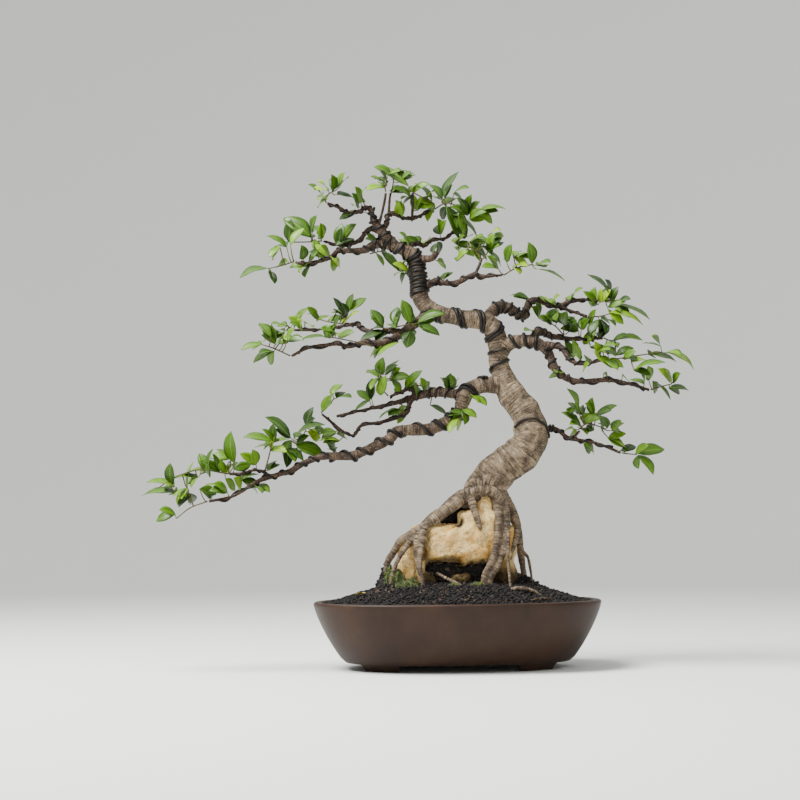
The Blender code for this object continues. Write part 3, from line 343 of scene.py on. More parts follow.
# routes of the wood from the middle of the rim plane, in millimetres: x, y, z, radius
woodRoutes = {
    "trunk": [
        (36, 2, 140, 29), (44, 0, 174, 31), (72, -5, 206, 31), (102, -8, 228, 29), (120, -8, 252, 28),
        (120, -4, 274, 26), (113, 0, 296, 24.5), (93, 4, 324, 22), (80, 6, 350, 18), (72, 8, 374, 16),
        (72, 8, 394, 15), (69, 6, 416, 16), (60, 4, 436, 16), (39, 2, 445, 15), (14, 0, 448, 13.5),
        (-14, 0, 454, 13), (-37, 0, 463, 13.5), (-50, 0, 478, 13.5), (-53, 2, 495, 12.8),
        (-55, 4, 522, 12.3),
        (-59, 2, 547, 12), (-74, 0, 558, 10), (-92, -2, 565, 9), (-109, 2, 570, 8), (-128, 6, 568, 6.8),
        (-140, 8, 561, 5.8), (-165, 12, 561, 4.5), (-183, 14, 561, 4.2), (-200, 16, 549, 3.7),
        (-235, 20, 542, 3.2), (-253, 22, 545, 2.6)],
    "rootLeft": [
        (40, -6, 170, 15), (16, -24, 163, 12.5), (-1, -34, 152, 10.5), (-26, -43, 134, 8.6),
        (-46, -46, 120, 7.2),
        (-67, -44, 108, 6.6), (-88, -38, 95, 6.2), (-101, -32, 74, 5.6), (-110, -28, 56, 5),
        (-122, -20, -16, 3.4)],
    "rootLeftUpper": [
        (34, -2, 172, 12), (8, -14, 164, 9), (-14, -22, 148, 7.5), (-34, -30, 133, 6.6), (-47, -38, 122, 5)],
    "rootLeftFront": [
        (-40, -43, 124, 6.4), (-51, -51, 112, 5.6), (-54, -57, 94, 5), (-57, -60, 76, 4.8),
        (-59, -62, 54, 4.4),
        (-55, -63, 34, 4.2), (-52, -64, -14, 3)],
    "rootLeftStrand": [
        (-56, -46, 114, 4.4), (-63, -52, 97, 3.6), (-65, -56, 79, 3.4), (-63, -59, 62, 3.2),
        (-60, -62, 44, 3)],
    "rootLeftLow": [
        (-62, -44, 109, 4.8), (-74, -48, 92, 4.4), (-85, -50, 77, 4.2), (-96, -52, 58, 3.9),
        (-104, -54, 30, 3.4),
        (-110, -54, -12, 2.6)],
    "rootArch": [
        (8, -30, 162, 9), (22, -38, 168, 7.6), (34, -41, 172, 7), (48, -40, 173, 7), (61, -37, 167, 8),
        (68, -34, 154, 8.5)],
    "rootCentre": [
        (20, -38, 165, 6.8), (25, -42, 152, 6.4), (28, -46, 140, 5.8), (32, -50, 128, 5.2),
        (35, -52, 117, 4.4),
        (37, -50, 110, 3)],
    "rootRight": [
        (56, -10, 178, 14), (62, -28, 160, 9.5), (65, -38, 138, 7.4), (65, -43, 116, 6.9),
        (63, -47, 94, 6.6),
        (58, -51, 74, 6.4), (50, -54, 54, 6.2), (41, -57, 34, 5.6), (36, -60, -16, 4.6)],
    "rootRightTwin": [
        (58, -4, 182, 15), (73, -16, 160, 10), (77, -30, 138, 7.4), (77, -38, 116, 6.9), (75, -43, 94, 6.6),
        (70, -48, 74, 6.4), (61, -52, 52, 5.8), (51, -56, 36, 5.4), (44, -60, -14, 4)],
    "rootRightSide": [
        (66, 2, 175, 13), (82, -4, 152, 9), (92, -8, 132, 7.4), (97, -10, 116, 6.4), (95, -12, 100, 5.4),
        (89, -16, 84, 5), (81, -24, 60, 4.4), (68, -36, -15, 3)],
    "rootBackLeft": [
        (30, 12, 170, 14), (0, 30, 159, 9.5), (-24, 40, 137, 7.8), (-50, 48, 111, 6.8), (-70, 54, 80, 6),
        (-94, 62, -15, 4)],
    "rootBackRight": [
        (58, 12, 172, 15), (82, 26, 150, 10), (95, 34, 126, 8.1), (102, 42, 98, 6.8), (106, 50, 65, 5.6),
        (118, 58, -15, 4)],
    "rootBack": [
        (46, 14, 168, 15), (47, 42, 150, 10.5), (41, 56, 118, 8.4), (30, 66, 80, 7), (10, 84, -15, 4)],
    "rootBackUpper": [
        (40, 16, 170, 16), (10, 22, 158, 13), (-16, 24, 142, 11), (-40, 22, 126, 9), (-58, 16, 108, 7),
        (-70, 10, 80, 6)],
    "rootCore": [(44, 4, 186, 22), (38, 4, 168, 20), (30, 10, 150, 15), (20, 20, 130, 8)],
    "rootKinked": [
        (96, -8, 104, 3.6), (97, -8, 92, 3.2), (101, -8, 82, 2.7), (110, -6, 70, 3.3), (113, -5, 66, 2.8),
        (116, -4, 50, 2.3), (119, -4, 26, 2), (121, -4, -4, 1.5)],
    "rootPale": [(80, -46, 108, 2.6), (80, -53, 92, 2.2), (79, -56, 60, 2.1), (81, -60, 24, 2),
                 (82, -62, -5, 1.4)],
    "rootSurface": [
        (62, -66, -6, 2.6), (70, -74, 11, 3.2), (84, -84, 19, 3.8), (98, -90, 20, 3.8), (114, -90, 16, 3.2),
        (132, -84, 4, 2.4), (140, -80, -5, 1.8)],
    "rootFragment": [(-32, -48, 44, 2.6), (-20, -54, 37, 3), (-6, -62, 31, 3), (8, -70, 22, 2.6),
                     (13, -74, 12, 1.8)],
    "lowLeft": [
        (88, 4, 340, 15), (58, 2, 341, 13.6), (39, 0, 339, 13.2), (21, -4, 330, 12.7), (12, -8, 310, 11.4),
        (5, -10, 294, 10.5), (-17, -12, 280, 9.8), (-43, -14, 270, 9.5), (-88, -18, 268, 9.4),
        (-106, -20, 254, 8.7), (-144, -24, 236, 7.9), (-164, -26, 229, 7.6), (-204, -30, 229, 6.3),
        (-221, -32, 225, 5.5), (-241, -34, 217, 5.2), (-259, -36, 206, 5), (-281, -38, 200, 4.6),
        (-311, -42, 190, 3.6), (-350, -46, 167, 2.8), (-386, -50, 160, 2.2)],
    "lowLeftFork": [
        (-292, -39, 198, 3.6), (-303, -37, 206, 3.1), (-319, -34, 208, 2.8), (-336, -30, 203, 2.5),
        (-356, -28, 203, 2.2)],
    "lowLeftUpper": [
        (20, -2, 328, 8.8), (4, 4, 327, 8), (-22, 14, 331, 7.7), (-42, 20, 329, 7), (-71, 28, 322, 5.3),
        (-108, 38, 313, 3.8), (-145, 46, 306, 3), (-189, 54, 297, 2.2)],
    "lowLeftPad": [(-58, 25, 325, 4.4), (-70, 22, 338, 3.4), (-84, 18, 332, 3), (-103, 14, 325, 2.4)],
    "lowLeftLower": [
        (-66, 27, 323, 4.8), (-72, 20, 311, 4.2), (-78, 14, 297, 4), (-114, 2, 284, 3.4), (-148, -8, 278, 3),
        (-158, -13, 263, 2.8), (-174, -16, 266, 2.5), (-210, -20, 296, 1.8)],
    "midLeft": [
        (-33, -2, 460, 9.8), (-43, -10, 451, 8.8), (-62, -24, 437, 7.9), (-80, -36, 423, 7),
        (-95, -44, 412, 6.2),
        (-116, -50, 404, 5.5), (-141, -54, 405, 4.8), (-167, -58, 399, 4), (-183, -60, 403, 3.6),
        (-227, -66, 397, 3), (-254, -70, 384, 2.2)],
    "midLeftUpper": [
        (-86, -40, 420, 5.5), (-102, -30, 427, 5.2), (-117, -22, 422, 4.8), (-146, -10, 432, 4.4),
        (-152, -7, 440, 3.8), (-175, 0, 438, 3.1), (-216, 8, 434, 2.5), (-255, 16, 434, 1.9)],
    "upLeftBack": [
        (-117, -2, 590, 5.6), (-133, 8, 595, 4.5), (-149, 20, 579, 3.9), (-174, 32, 573, 3.2),
        (-208, 44, 582, 2.3)],
    "apex": [
        (-84, 0, 561, 8), (-97, -4, 574, 8), (-110, -6, 586, 7.4), (-120, -6, 598, 6.6),
        (-126, -6, 608, 5.2),
        (-128, -6, 622, 4.4), (-137, -6, 628, 3.8), (-148, -8, 621, 3.5), (-164, -10, 618, 3.3),
        (-180, -13, 627, 3), (-198, -16, 633, 2.3)],
    "apexRight": [
        (-113, -6, 592, 5), (-103, -2, 603, 4.5), (-103, 3, 614, 4), (-95, 8, 620, 3.6), (-75, 18, 614, 3.3),
        (-61, 25, 614, 3.2), (-48, 31, 621, 2.8), (-28, 40, 631, 2.2)],
    "apexTwigLeft": [(-118, -6, 597, 2.4), (-113, -9, 612, 2.3), (-107, -14, 636, 2), (-105, -16, 649, 1.7)],
    "apexTwigMiddle": [(-101, 4, 616, 2.3), (-99, 12, 643, 2), (-97, 14, 655, 1.7)],
    "apexTwigRight": [(-63, 24, 614, 2.3), (-62, 22, 636, 2), (-62, 21, 655, 1.7)],
    "upRightStub": [(-57, 2, 545, 7.2), (-43, -8, 543, 6.4), (-31, -16, 544, 5.8), (-25, -20, 553, 4.5)],
    "upRightTwig": [
        (-70, 0, 557, 6), (-65, 9, 567, 4.2), (-57, 17, 572, 3.8), (-42, 26, 570, 3.6), (-33, 33, 579, 3.5),
        (-7, 48, 586, 2.8), (5, 54, 599, 2.2)],
    "upRight": [
        (-53, 4, 506, 8), (-37, -2, 503, 6.4), (-24, -8, 509, 5.4), (-13, -14, 503, 5), (7, -20, 503, 4.7),
        (33, -30, 514, 4), (46, -36, 510, 3.7), (78, -48, 510, 2.6)],
    "upRightFork": [(32, -30, 513, 3), (39, -24, 522, 2.6), (46, -16, 539, 2)],
    "rightUpper": [
        (53, 6, 444, 10.4), (63, 16, 460, 9.3), (76, 24, 469, 8.9), (91, 30, 468, 8.8), (106, 36, 459, 8),
        (117, 40, 455, 7.4), (121, 44, 467, 6.3), (127, 48, 480, 5.8), (141, 52, 482, 5.3),
        (170, 56, 473, 4.5),
        (196, 60, 481, 3.8), (221, 64, 484, 3), (240, 66, 480, 2.3)],
    "rightUpperLow": [(168, 56, 473, 3.8), (184, 50, 467, 3.3), (218, 38, 453, 2.2)],
    "rightMain": [
        (72, 6, 386, 12.8), (86, 0, 404, 11.2), (103, -6, 410, 10.4), (120, -12, 409, 9.8),
        (134, -16, 405, 8.8),
        (148, -20, 392, 8), (154, -22, 380, 7.3), (158, -26, 366, 6.8), (169, -30, 353, 6.2),
        (181, -34, 345, 5.4),
        (202, -40, 341, 4.7), (240, -52, 342, 3.9), (270, -62, 335, 2.9), (301, -72, 324, 2)],
    "rightMainBack": [
        (126, -10, 411, 7.4), (135, -2, 425, 6.6), (147, 8, 424, 5.9), (158, 16, 419, 5.2),
        (200, 36, 416, 3.5),
        (244, 54, 419, 2.2)],
    "rightMainFront": [
        (139, -18, 402, 6.4), (154, -30, 400, 5.6), (170, -41, 394, 5), (181, -53, 374, 4.2),
        (199, -62, 367, 3.5),
        (232, -76, 371, 2.3)],
    "rightLow": [
        (128, 4, 268, 6), (153, 14, 271, 4.5), (166, 18, 268, 4.2), (183, 18, 255, 3.7), (203, 16, 251, 3.2),
        (231, 12, 245, 2.7), (264, 6, 230, 2)],
    "rightLowSpur": [(189, 18, 254, 2.6), (200, 12, 266, 2)],
}

wood = {
    "voxel": 2.0 * mm,
    "sampleSpacing": 3.5,      # millimetres along a limb
    "lumpSize": 24 * mm,       # uneven growth
    "lumpDepth": 1.6 * mm,
    "ringSpacing": 6.0 * mm,   # the coarse folds across the trunk
    "ringDepth": 0.9 * mm,
    "grainDepth": 0.16 * mm,
    "knuckleSpacing": 13 * mm,  # swollen leaf scars on the twigs
    "knuckle": 0.22,
    "thinEnd": 2.6 * mm,       # thinner than this, the remesh would break a limb up
    "rootBark": 15 * mm,       # roots have the bark of a limb at least this thick
}
limbs = {name: denseRoute(points, wood["sampleSpacing"]) for name, points in woodRoutes.items()}


def limbFrames(samples):  # tangent and two side directions that do not twist, and the length so far
    frames = []
    normal = None
    length = 0.0
    for i, (place, radius, index) in enumerate(samples):
        before = samples[max(i - 1, 0)][0]
        after = samples[min(i + 1, len(samples) - 1)][0]
        tangent = (after - before).normalized()
        if normal is None:
            normal = tangent.orthogonal()
        normal = (normal - tangent * normal.dot(tangent)).normalized()
        if i:
            length += (place - samples[i - 1][0]).length
        frames.append((tangent, normal, tangent.cross(normal), length))
    return frames


frames = {name: limbFrames(samples) for name, samples in limbs.items()}


def knuckled(name):  # the limb's radius with swollen leaf scars where it is thin
    shaped = []
    for (place, radius, _), (_, _, _, length) in zip(limbs[name], frames[name]):
        thin = max(0.0, 1 - radius / (7 * mm)) if "root" not in name else 0.15
        phase = length / wood["knuckleSpacing"]
        bulge = max(0.0, math.cos(math.tau * phase)) ** 4
        uneven = noise.noise(place * 60) * 0.12
        shaped.append((place, radius * (1 + thin * wood["knuckle"] * bulge + uneven)))
    return shaped


def buildWood():
    rough = bmesh.new()
    for name in limbs:
        addMesh(rough, tubeMesh(name, knuckled(name), 4 if name == "trunk" else 2))
    bm = fusedBm(rough, "wood", wood["voxel"])
    for name in limbs:  # thin ends the remesh would break up
        slim = [pair for pair in knuckled(name) if pair[1] < wood["thinEnd"]]
        if len(slim) > 2:
            addMesh(bm, tubeMesh(name, slim, 2))
    # each vertex finds its limb, so the bark follows it
    owners = [(name, i) for name in limbs for i in range(len(limbs[name]))]
    finder = KDTree(len(owners))
    for number, (name, i) in enumerate(owners):
        finder.insert(limbs[name][i][0], number)
    finder.balance()
    bm.normal_update()
    frameLayer = bm.verts.layers.float_vector.new("barkFrame")
    sizeLayer = bm.verts.layers.float.new("limbSize")
    moves = []
    for vert in bm.verts:
        best = None
        for _, number, distance in finder.find_n(vert.co, 5):
            name, i = owners[number]
            gap = abs(distance - limbs[name][i][1])
            if best is None or gap < best[0]:
                best = (gap, name, i)
        _, name, i = best
        place, radius, _ = limbs[name][i]
        tangent, side, other, length = frames[name][i]
        offset = vert.co - place
        along = length + offset.dot(tangent)
        local = Vector((along, offset.dot(side), offset.dot(other)))
        vert[frameLayer] = local
        vert[sizeLayer] = max(radius, wood["rootBark"]) if "root" in name else radius
        stout = min(1.0, radius / (16 * mm))
        lump = noise.noise(vert.co / wood["lumpSize"]) * wood["lumpDepth"] * stout
        turned = Vector((along / wood["ringSpacing"], local.y * 22, local.z * 22))
        ring = (0.5 - abs(noise.noise(turned))) * wood["ringDepth"] * min(1.0, radius / (10 * mm))
        grain = noise.noise(vert.co * 420) * wood["grainDepth"]
        moves.append(vert.normal * (lump + ring + grain))
    for vert, move in zip(bm.verts, moves):
        vert.co += move
    return meshFromBm(bm, "wood")


woodPiece = placePiece("ficusWood", buildWood(), barkMaterial, ["wood"])
report("wood, %d faces" % len(woodPiece.data.polygons))


# pot

def makeStoneware():
    # unglazed stoneware: pressed, dark iron-brown body with a faint sheen from handling, fine sand in the
    # surface
    made, tree, shader = newMaterial("unglazedStoneware", {"Specular IOR Level": 0.2})
    onObject = {"Vector": addNode(tree, "ShaderNodeTexCoord").outputs["Object"]}
    # 70 mm firing clouds
    clouds = addNode(tree, "ShaderNodeTexNoise", {"Scale": 14.0, "Detail": 5.0, "Roughness": 0.55}, onObject)
    streakMap = addNode(tree, "ShaderNodeMapping", {"Scale": (90, 90, 6)}, onObject)
    streaks = addNode(tree, "ShaderNodeTexNoise", {"Scale": 1.0, "Detail": 3.0},
                      {"Vector": streakMap.outputs["Vector"]})
    sand = addNode(tree, "ShaderNodeTexNoise", {"Scale": 1500.0, "Detail": 2.0}, onObject)
    pits = addNode(tree, "ShaderNodeTexVoronoi", {"Scale": 420.0}, onObject)
    colour = addRamp(tree, clouds.outputs["Fac"], [(0.3, "24160d"), (0.5, "2c1c12"), (0.72, "362418")])
    streakShade = addRamp(tree, streaks.outputs["Fac"], [(0.3, "e0d8d0"), (0.55, "ffffff"), (0.8, "fff6ea")])
    colour = mixColours(tree, 0.5, colour, streakShade, "MULTIPLY")
    sandShade = addRamp(tree, sand.outputs["Fac"], [(0.35, "cfc6be"), (0.6, "ffffff")])
    colour = mixColours(tree, 0.35, colour, sandShade, "MULTIPLY")
    tree.links.new(colour, shader.inputs["Base Color"])
    polish = addNode(tree, "ShaderNodeMapRange", {"To Min": 0.44, "To Max": 0.56},
                     {"Value": clouds.outputs["Fac"]})
    tree.links.new(polish.outputs["Result"], shader.inputs["Roughness"])
    pitEdge = addNode(tree, "ShaderNodeMapRange", {"From Min": 0.0, "From Max": 0.2},
                      {"Value": pits.outputs["Distance"]})
    addBump(tree, shader, [(sand.outputs["Fac"], 0.0003, 0.35), (pitEdge.outputs["Result"], 0.0003, 0.25)])
    return made


pot = {
    "planPower": 2.4,
    "segments": 144,
    "depthLess": (potHigh.x - potLow.x - potHigh.y + potLow.y) / 2,
    "length": potHigh.x - potLow.x + 1 * mm,   # the CAD's sides are straight between its corners
    "baseLength": 356 * mm,
    "wall": 10 * mm,
    "floor": 10 * mm,
    "rimWidth": 13 * mm,
    "lip": 3.5 * mm,
    "flare": 0.88,
    "belly": 1.25,
    "footHeight": 11 * mm,
    "footInset": 11 * mm,
    "footFlare": 5 * mm,
    "footWidth": 16 * mm,
    "frontGap": 184 * mm,
    "endGap": 120 * mm,
    "gapRound": 7 * mm,
    "drain": 28 * mm,
    "drainSpacing": 130 * mm,
    "tieHole": 6 * mm,
    "tieSpacing": 226 * mm,
    "tieY": 15 * mm,
}


def setPlan(verts, halfLength, height, share=1.0):  # moves a ring of verts on to the pot's oval plan
    power = 2 / pot["planPower"]
    for i, vert in enumerate(verts):
        angle = math.tau * i / len(verts)
        c, s = math.cos(angle), math.sin(angle)
        x = halfLength * math.copysign(abs(c) ** power, c)
        y = (halfLength - pot["depthLess"]) * math.copysign(abs(s) ** power, s)
        vert.co = (rimCentre.x + x * share, rimCentre.y + y * share, height)


def ringEdges(bm, ring):
    return [bm.edges.get((ring[i - 1], ring[i])) for i in range(len(ring))]


def extrudeRing(bm, ring):  # the new ring, in the old one's order
    extruded = bmesh.ops.extrude_edge_only(bm, edges=ringEdges(bm, ring))["geom"]
    fresh = {tuple(vert.co): vert for vert in extruded if isinstance(vert, bmesh.types.BMVert)}
    return [fresh[tuple(vert.co)] for vert in ring]


def ovalLoft(rings, closeEnds=True):  # a circle, extruded ring by ring to each (half length, height)
    bm = bmesh.new()
    ring = bmesh.ops.create_circle(bm, segments=pot["segments"], radius=1.0)["verts"]
    setPlan(ring, *rings[0])
    first = list(ring)
    for values in rings[1:]:
        ring = extrudeRing(bm, ring)
        setPlan(ring, *values)
    if closeEnds:
        bmesh.ops.contextual_create(bm, geom=first)
        bmesh.ops.contextual_create(bm, geom=ring)
    else:
        bmesh.ops.bridge_loops(bm, edges=ringEdges(bm, first) + ringEdges(bm, ring))
    bmesh.ops.recalc_face_normals(bm, faces=bm.faces)
    return bm


def outerHalf(height):
    top = potHigh.z - pot["lip"]
    share = min(max((height - pot["footHeight"]) / (top - pot["footHeight"]), 0.0), 1.0)
    base = pot["baseLength"] / 2
    return base + (pot["length"] / 2 - base) * (1 - (1 - share ** pot["flare"]) ** pot["belly"])


def innerHalf(height):
    return min(outerHalf(height) - pot["wall"], pot["length"] / 2 - pot["rimWidth"])


def buildPot():
    base, foot, lip = pot["baseLength"] / 2, pot["footHeight"], pot["lip"]
    top = potHigh.z - lip
    floorTop = foot + pot["floor"]
    rings = [(base - 4 * mm, foot), (base - 1.2 * mm, foot + 0.3 * mm), (base, foot + 1.2 * mm)]
    for step in range(1, 15):
        height = foot + (top - foot) * (step / 14)
        rings.append((outerHalf(height), height))
    outer, inner = pot["length"] / 2, pot["length"] / 2 - pot["rimWidth"]
    for step in range(1, 6):
        angle = math.pi / 2 * step / 5
        rings.append((outer - lip * (1 - math.cos(angle)), top + lip * math.sin(angle)))
    for step in range(5, -1, -1):
        angle = math.pi / 2 * step / 5
        rings.append((inner + lip * (1 - math.cos(angle)), top + lip * math.sin(angle)))
    for step in range(8, -1, -1):
        height = floorTop + (top - floorTop) * (step / 9)
        rings.append((innerHalf(height) - (4 * mm if step == 0 else 0), height))
    body = meshFromBm(ovalLoft(rings), "pot")

    footOuter = base - pot["footInset"]
    footInner = footOuter - pot["footWidth"]
    under = foot + 4 * mm
    ringOfFeet = ovalLoft([
        (footInner + 1 * mm, 0), (footOuter - pot["footFlare"] - 1 * mm, 0),
        (footOuter - pot["footFlare"], 1 * mm),
        (footOuter, foot), (footOuter, under), (footInner, under), (footInner, 1 * mm)], closeEnds=False)
    feet = meshFromBm(ringOfFeet, "feet")

    cutters = []

    def addCutter(bm):
        holder = bpy.data.objects.new("cutter", meshFromBm(bm, "cutter"))
        bpy.context.scene.collection.objects.link(holder)
        cutters.append(holder)
        return holder

    # a box with rounded upper corners, for a cut-out in the foot ring
    def roundedGap(lengthX, lengthY, upright):
        bm = bmesh.new()
        height = foot * 2
        size = Matrix.Diagonal((lengthX, lengthY, height, 1))
        bmesh.ops.create_cube(bm, size=1.0, matrix=Matrix.Translation((rimCentre.x, rimCentre.y, 0)) @ size)
        corners = [edge for edge in bm.edges
                   if all(vert.co.z > 0 for vert in edge.verts)
                   and abs((edge.verts[0].co - edge.verts[1].co)[upright]) > 10 * mm]
        bmesh.ops.bevel(bm, geom=corners, offset=pot["gapRound"], offset_type="OFFSET", affect="EDGES",
                        segments=5, profile=0.5, material=-1)
        return addCutter(bm)

    def column(diameter, x, y):
        bm = bmesh.new()
        bmesh.ops.create_cone(bm, cap_ends=True, segments=32, radius1=diameter / 2, radius2=diameter / 2,
                              depth=0.06,
                              matrix=Matrix.Translation((rimCentre.x + x, rimCentre.y + y, 0.02)))
        return addCutter(bm)

    gaps = [roundedGap(pot["frontGap"], 0.5, 1), roundedGap(0.6, pot["endGap"], 0)]
    holes = []
    for side in (-1, 1):
        holes.append(column(pot["drain"], side * pot["drainSpacing"] / 2, 0))
        holes.append(column(pot["tieHole"], side * pot["tieSpacing"] / 2, pot["tieY"]))

    def cutWith(tools):
        def setUp(modifiers):
            for tool in tools:
                step = modifiers.new("cut", "BOOLEAN")
                step.operation = "DIFFERENCE"
                step.object = tool
        return setUp

    bm = bmesh.new()
    addMesh(bm, evaluatedMesh(body, cutWith(holes)))
    addMesh(bm, evaluatedMesh(feet, cutWith(gaps)))
    for tool in cutters:
        bpy.data.objects.remove(tool)
    mesh = meshFromBm(bm, "pot")
    mesh.set_sharp_from_angle(angle=math.radians(38))
    return mesh


stoneware = makeStoneware()
placePiece("stonewarePot", buildPot(), stoneware, ["pot"])
report("pot")


# stone

def makeLimestone():
    # weathered limestone: cream and porous, rusty stains, pits and a worn hollow darkened as painted shade,
    # dirty and mossy near the soil, and darkened under the block's overhang as painted shade
    made, tree, shader = newMaterial("weatheredLimestone", {"Roughness": 0.88, "Specular IOR Level": 0.25})
    onObject = {"Vector": addNode(tree, "ShaderNodeTexCoord").outputs["Object"]}
    recessShade = addNode(tree, "ShaderNodeAttribute", {"attribute_name": "recessShade"})
    dirtAndUnderShade = addNode(tree, "ShaderNodeAttribute", {"attribute_name": "dirtAndUnderShade"})
    # 30 mm stains
    stain = addNode(tree, "ShaderNodeTexNoise", {"Scale": 34.0, "Detail": 5.0, "Roughness": 0.7}, onObject)
    # 3 mm crystals
    grain = addNode(tree, "ShaderNodeTexNoise", {"Scale": 330.0, "Detail": 5.0, "Roughness": 0.8}, onObject)
    # brown specks, 5 mm apart
    specks = addNode(tree, "ShaderNodeTexNoise", {"Scale": 210.0, "Detail": 5.0, "Roughness": 0.8}, onObject)
    colour = addRamp(tree, stain.outputs["Fac"], [
        (0.28, "b9782a"), (0.38, "dbab5c"), (0.47, "edcb88"), (0.6, "f3dca6"), (0.74, "dba24a")])
    grainShade = addRamp(tree, grain.outputs["Fac"], [(0.36, "7f6540"), (0.47, "e6d6b8"), (0.66, "ffffff")])
    colour = mixColours(tree, 0.75, colour, grainShade, "MULTIPLY")
    speckMask = addNode(tree, "ShaderNodeMapRange", {"From Min": 0.44, "From Max": 0.35, "To Max": 0.85},
                        {"Value": specks.outputs["Fac"]})
    colour = mixColours(tree, speckMask.outputs["Result"], colour, linearColour("553a1a"))
    # this dark colour is real dirt and moss near the soil, and painted shade under the block's overhang
    dirtAndShadeColour = addRamp(tree, specks.outputs["Fac"],
                   [(0.36, "150f08"), (0.5, "36291a"), (0.62, "514624"), (0.74, "3a4218")])
    dirtAndShadeShare = addNode(tree, "ShaderNodeMath", {"operation": "MULTIPLY", 1: 0.95},
                        {0: dirtAndUnderShade.outputs["Fac"]})
    colour = mixColours(tree, dirtAndShadeShare.outputs["Value"], colour, dirtAndShadeColour)
    # painted shade: the pits and the worn hollow are darkened toward near black
    recessShadeMask = addNode(tree, "ShaderNodeMapRange", {"From Min": 0.2, "From Max": 0.9},
                       {"Value": recessShade.outputs["Fac"]})
    recessShadeColour = addRamp(tree, stain.outputs["Fac"], [(0.35, "15110c"), (0.6, "2c2418"), (0.75, "3d3a1e")])
    colour = mixColours(tree, recessShadeMask.outputs["Result"], colour, recessShadeColour)
    tree.links.new(colour, shader.inputs["Base Color"])
    addBump(tree, shader, [(grain.outputs["Fac"], 0.002, 0.9), (specks.outputs["Fac"], 0.0035, 0.7)])
    return made


stone = {
    "voxel": 1.8 * mm,
    # x, y, z, half sizes in millimetres from the middle of the rim plane, and how boxy
    "lumps": [
        (3, -14, 88, 50, 41, 32, 5), (23, -8, 120, 21, 36, 22, 4), (45, -16, 148, 15, 24, 16, 2.6),
        (50, -10, 100, 13, 36, 46, 4), (-57, -12, 102, 16, 28, 18, 3), (-77, -14, 60, 17, 30, 36, 3),
        (-5, 16, 36, 78, 34, 36, 4), (68, 0, 62, 22, 30, 44, 3), (6, 38, 76, 62, 28, 48, 4),
        (86, 2, 92, 9, 20, 26, 3), (78, -14, 42, 16, 22, 22, 2.6), (-50, -16, 40, 18, 26, 26, 3),
        (14, -12, 22, 42, 24, 22, 2.4), (4, -38, 34, 15, 12, 10, 2.4)],
    "facetSize": 26 * mm,
    "facetDepth": 4.4 * mm,
    "roughDepth": 3.2 * mm,
    "poreSize": 5.5 * mm,
    "poreDepth": 1.3 * mm,
    # worn hollows: x, y, z, radius, depth in millimetres; each is also darkened as painted shade
    "hollows": [(3, -46, 124, 9, 9)],
    # the block's front edge underneath, as x and z, and how steeply its underside goes back
    "lip": [(-60, 70), (-47, 67), (-20, 70), (4, 70), (12, 58), (22, 64), (40, 66), (60, 62)],
    "underCut": 1.3,
    "soiledFrom": 64 * mm,    # above the rim, where the stone starts to be dirty
    "soiledTo": 44 * mm,
    "lobeEdge": -58 * mm,     # the left lobe is clean further down
}


def lipHeight(x):
    for (x0, z0), (x1, z1) in zip(stone["lip"], stone["lip"][1:]):
        if x <= x1 * mm:
            share = max(0.0, (x / mm - x0) / (x1 - x0))
            return (z0 + (z1 - z0) * share) * mm
    return stone["lip"][-1][1] * mm


def buildStone():
    rough = bmesh.new()
    for x, y, z, halfX, halfY, halfZ, power in stone["lumps"]:
        made = bmesh.ops.create_icosphere(rough, subdivisions=5, radius=1.0)
        for vert in made["verts"]:
            size = sum(abs(value) ** power for value in vert.co) ** (1 / power)
            way = vert.co / size
            vert.co = fromRim(x + way.x * halfX, y + way.y * halfY, z + way.z * halfZ)
    bm = fusedBm(rough, "stone", stone["voxel"])
    bm.normal_update()
    recessShadeLayer = bm.verts.layers.float.new("recessShade")
    dirtAndUnderShadeLayer = bm.verts.layers.float.new("dirtAndUnderShade")
    moves = []
    for vert in bm.verts:
        cells, _ = noise.voronoi(vert.co / stone["facetSize"])
        facet = (cells[1] - cells[0]) * stone["facetDepth"]
        craggy = noise.fractal(vert.co * 58, 0.8, 2.1, 5) * stone["roughDepth"]
        pores, _ = noise.voronoi(vert.co / stone["poreSize"])
        pit = max(0.0, 0.42 - pores[0]) / 0.42
        worn = max(0.0, noise.noise(vert.co * 34) + 0.25)
        depth = 0.0
        shade = 0.0
        for x, y, z, radius, deep in stone["hollows"]:
            reach = (vert.co - fromRim(x, y, z)).length / (radius * mm)
            depth += math.exp(-reach ** 4) * deep * mm
            shade = max(shade, math.exp(-(reach * 0.92) ** 6))
        facing = min(1.0, max(0.0, -vert.normal.y * 1.5))
        # painted shade: darkest in the worn hollow, darker in the pits
        vert[recessShadeLayer] = min(1.0, shade + pit * worn * 0.9)
        local = vert.co - rimCentre
        under = max(0.0, lipHeight(local.x) + noise.noise(vert.co * 70) * 3 * mm - local.z)
        inBlock = -50 * mm < local.x < 62 * mm and local.z > 46 * mm
        undercut = min(under * stone["underCut"], 22 * mm) if inBlock and facing > 0.2 else 0.0
        height = local.z + noise.noise(vert.co * 40) * 9 * mm
        if local.x < stone["lobeEdge"]:
            height += 20 * mm
        dirty = (stone["soiledFrom"] - height) / (stone["soiledFrom"] - stone["soiledTo"])
        # dirty near the soil, and painted shade under the block's front lip
        vert[dirtAndUnderShadeLayer] = min(1.0, max(0.0, dirty, min(under / (8 * mm), 0.75) if inBlock else 0.0))
        outward = facet * 0.5 - stone["facetDepth"] * 0.2 + craggy - pit * worn * stone["poreDepth"] * 1.6
        moves.append(vert.normal * outward + Vector((0, depth * facing + undercut, 0)))
    for vert, move in zip(bm.verts, moves):
        vert.co += move
    bmesh.ops.recalc_face_normals(bm, faces=bm.faces)
    return meshFromBm(bm, "stone")


limestone = makeLimestone()
stonePiece = placePiece("limestoneRock", buildStone(), limestone, ["stone"])
report("stone, %d faces" % len(stonePiece.data.polygons))


# soil

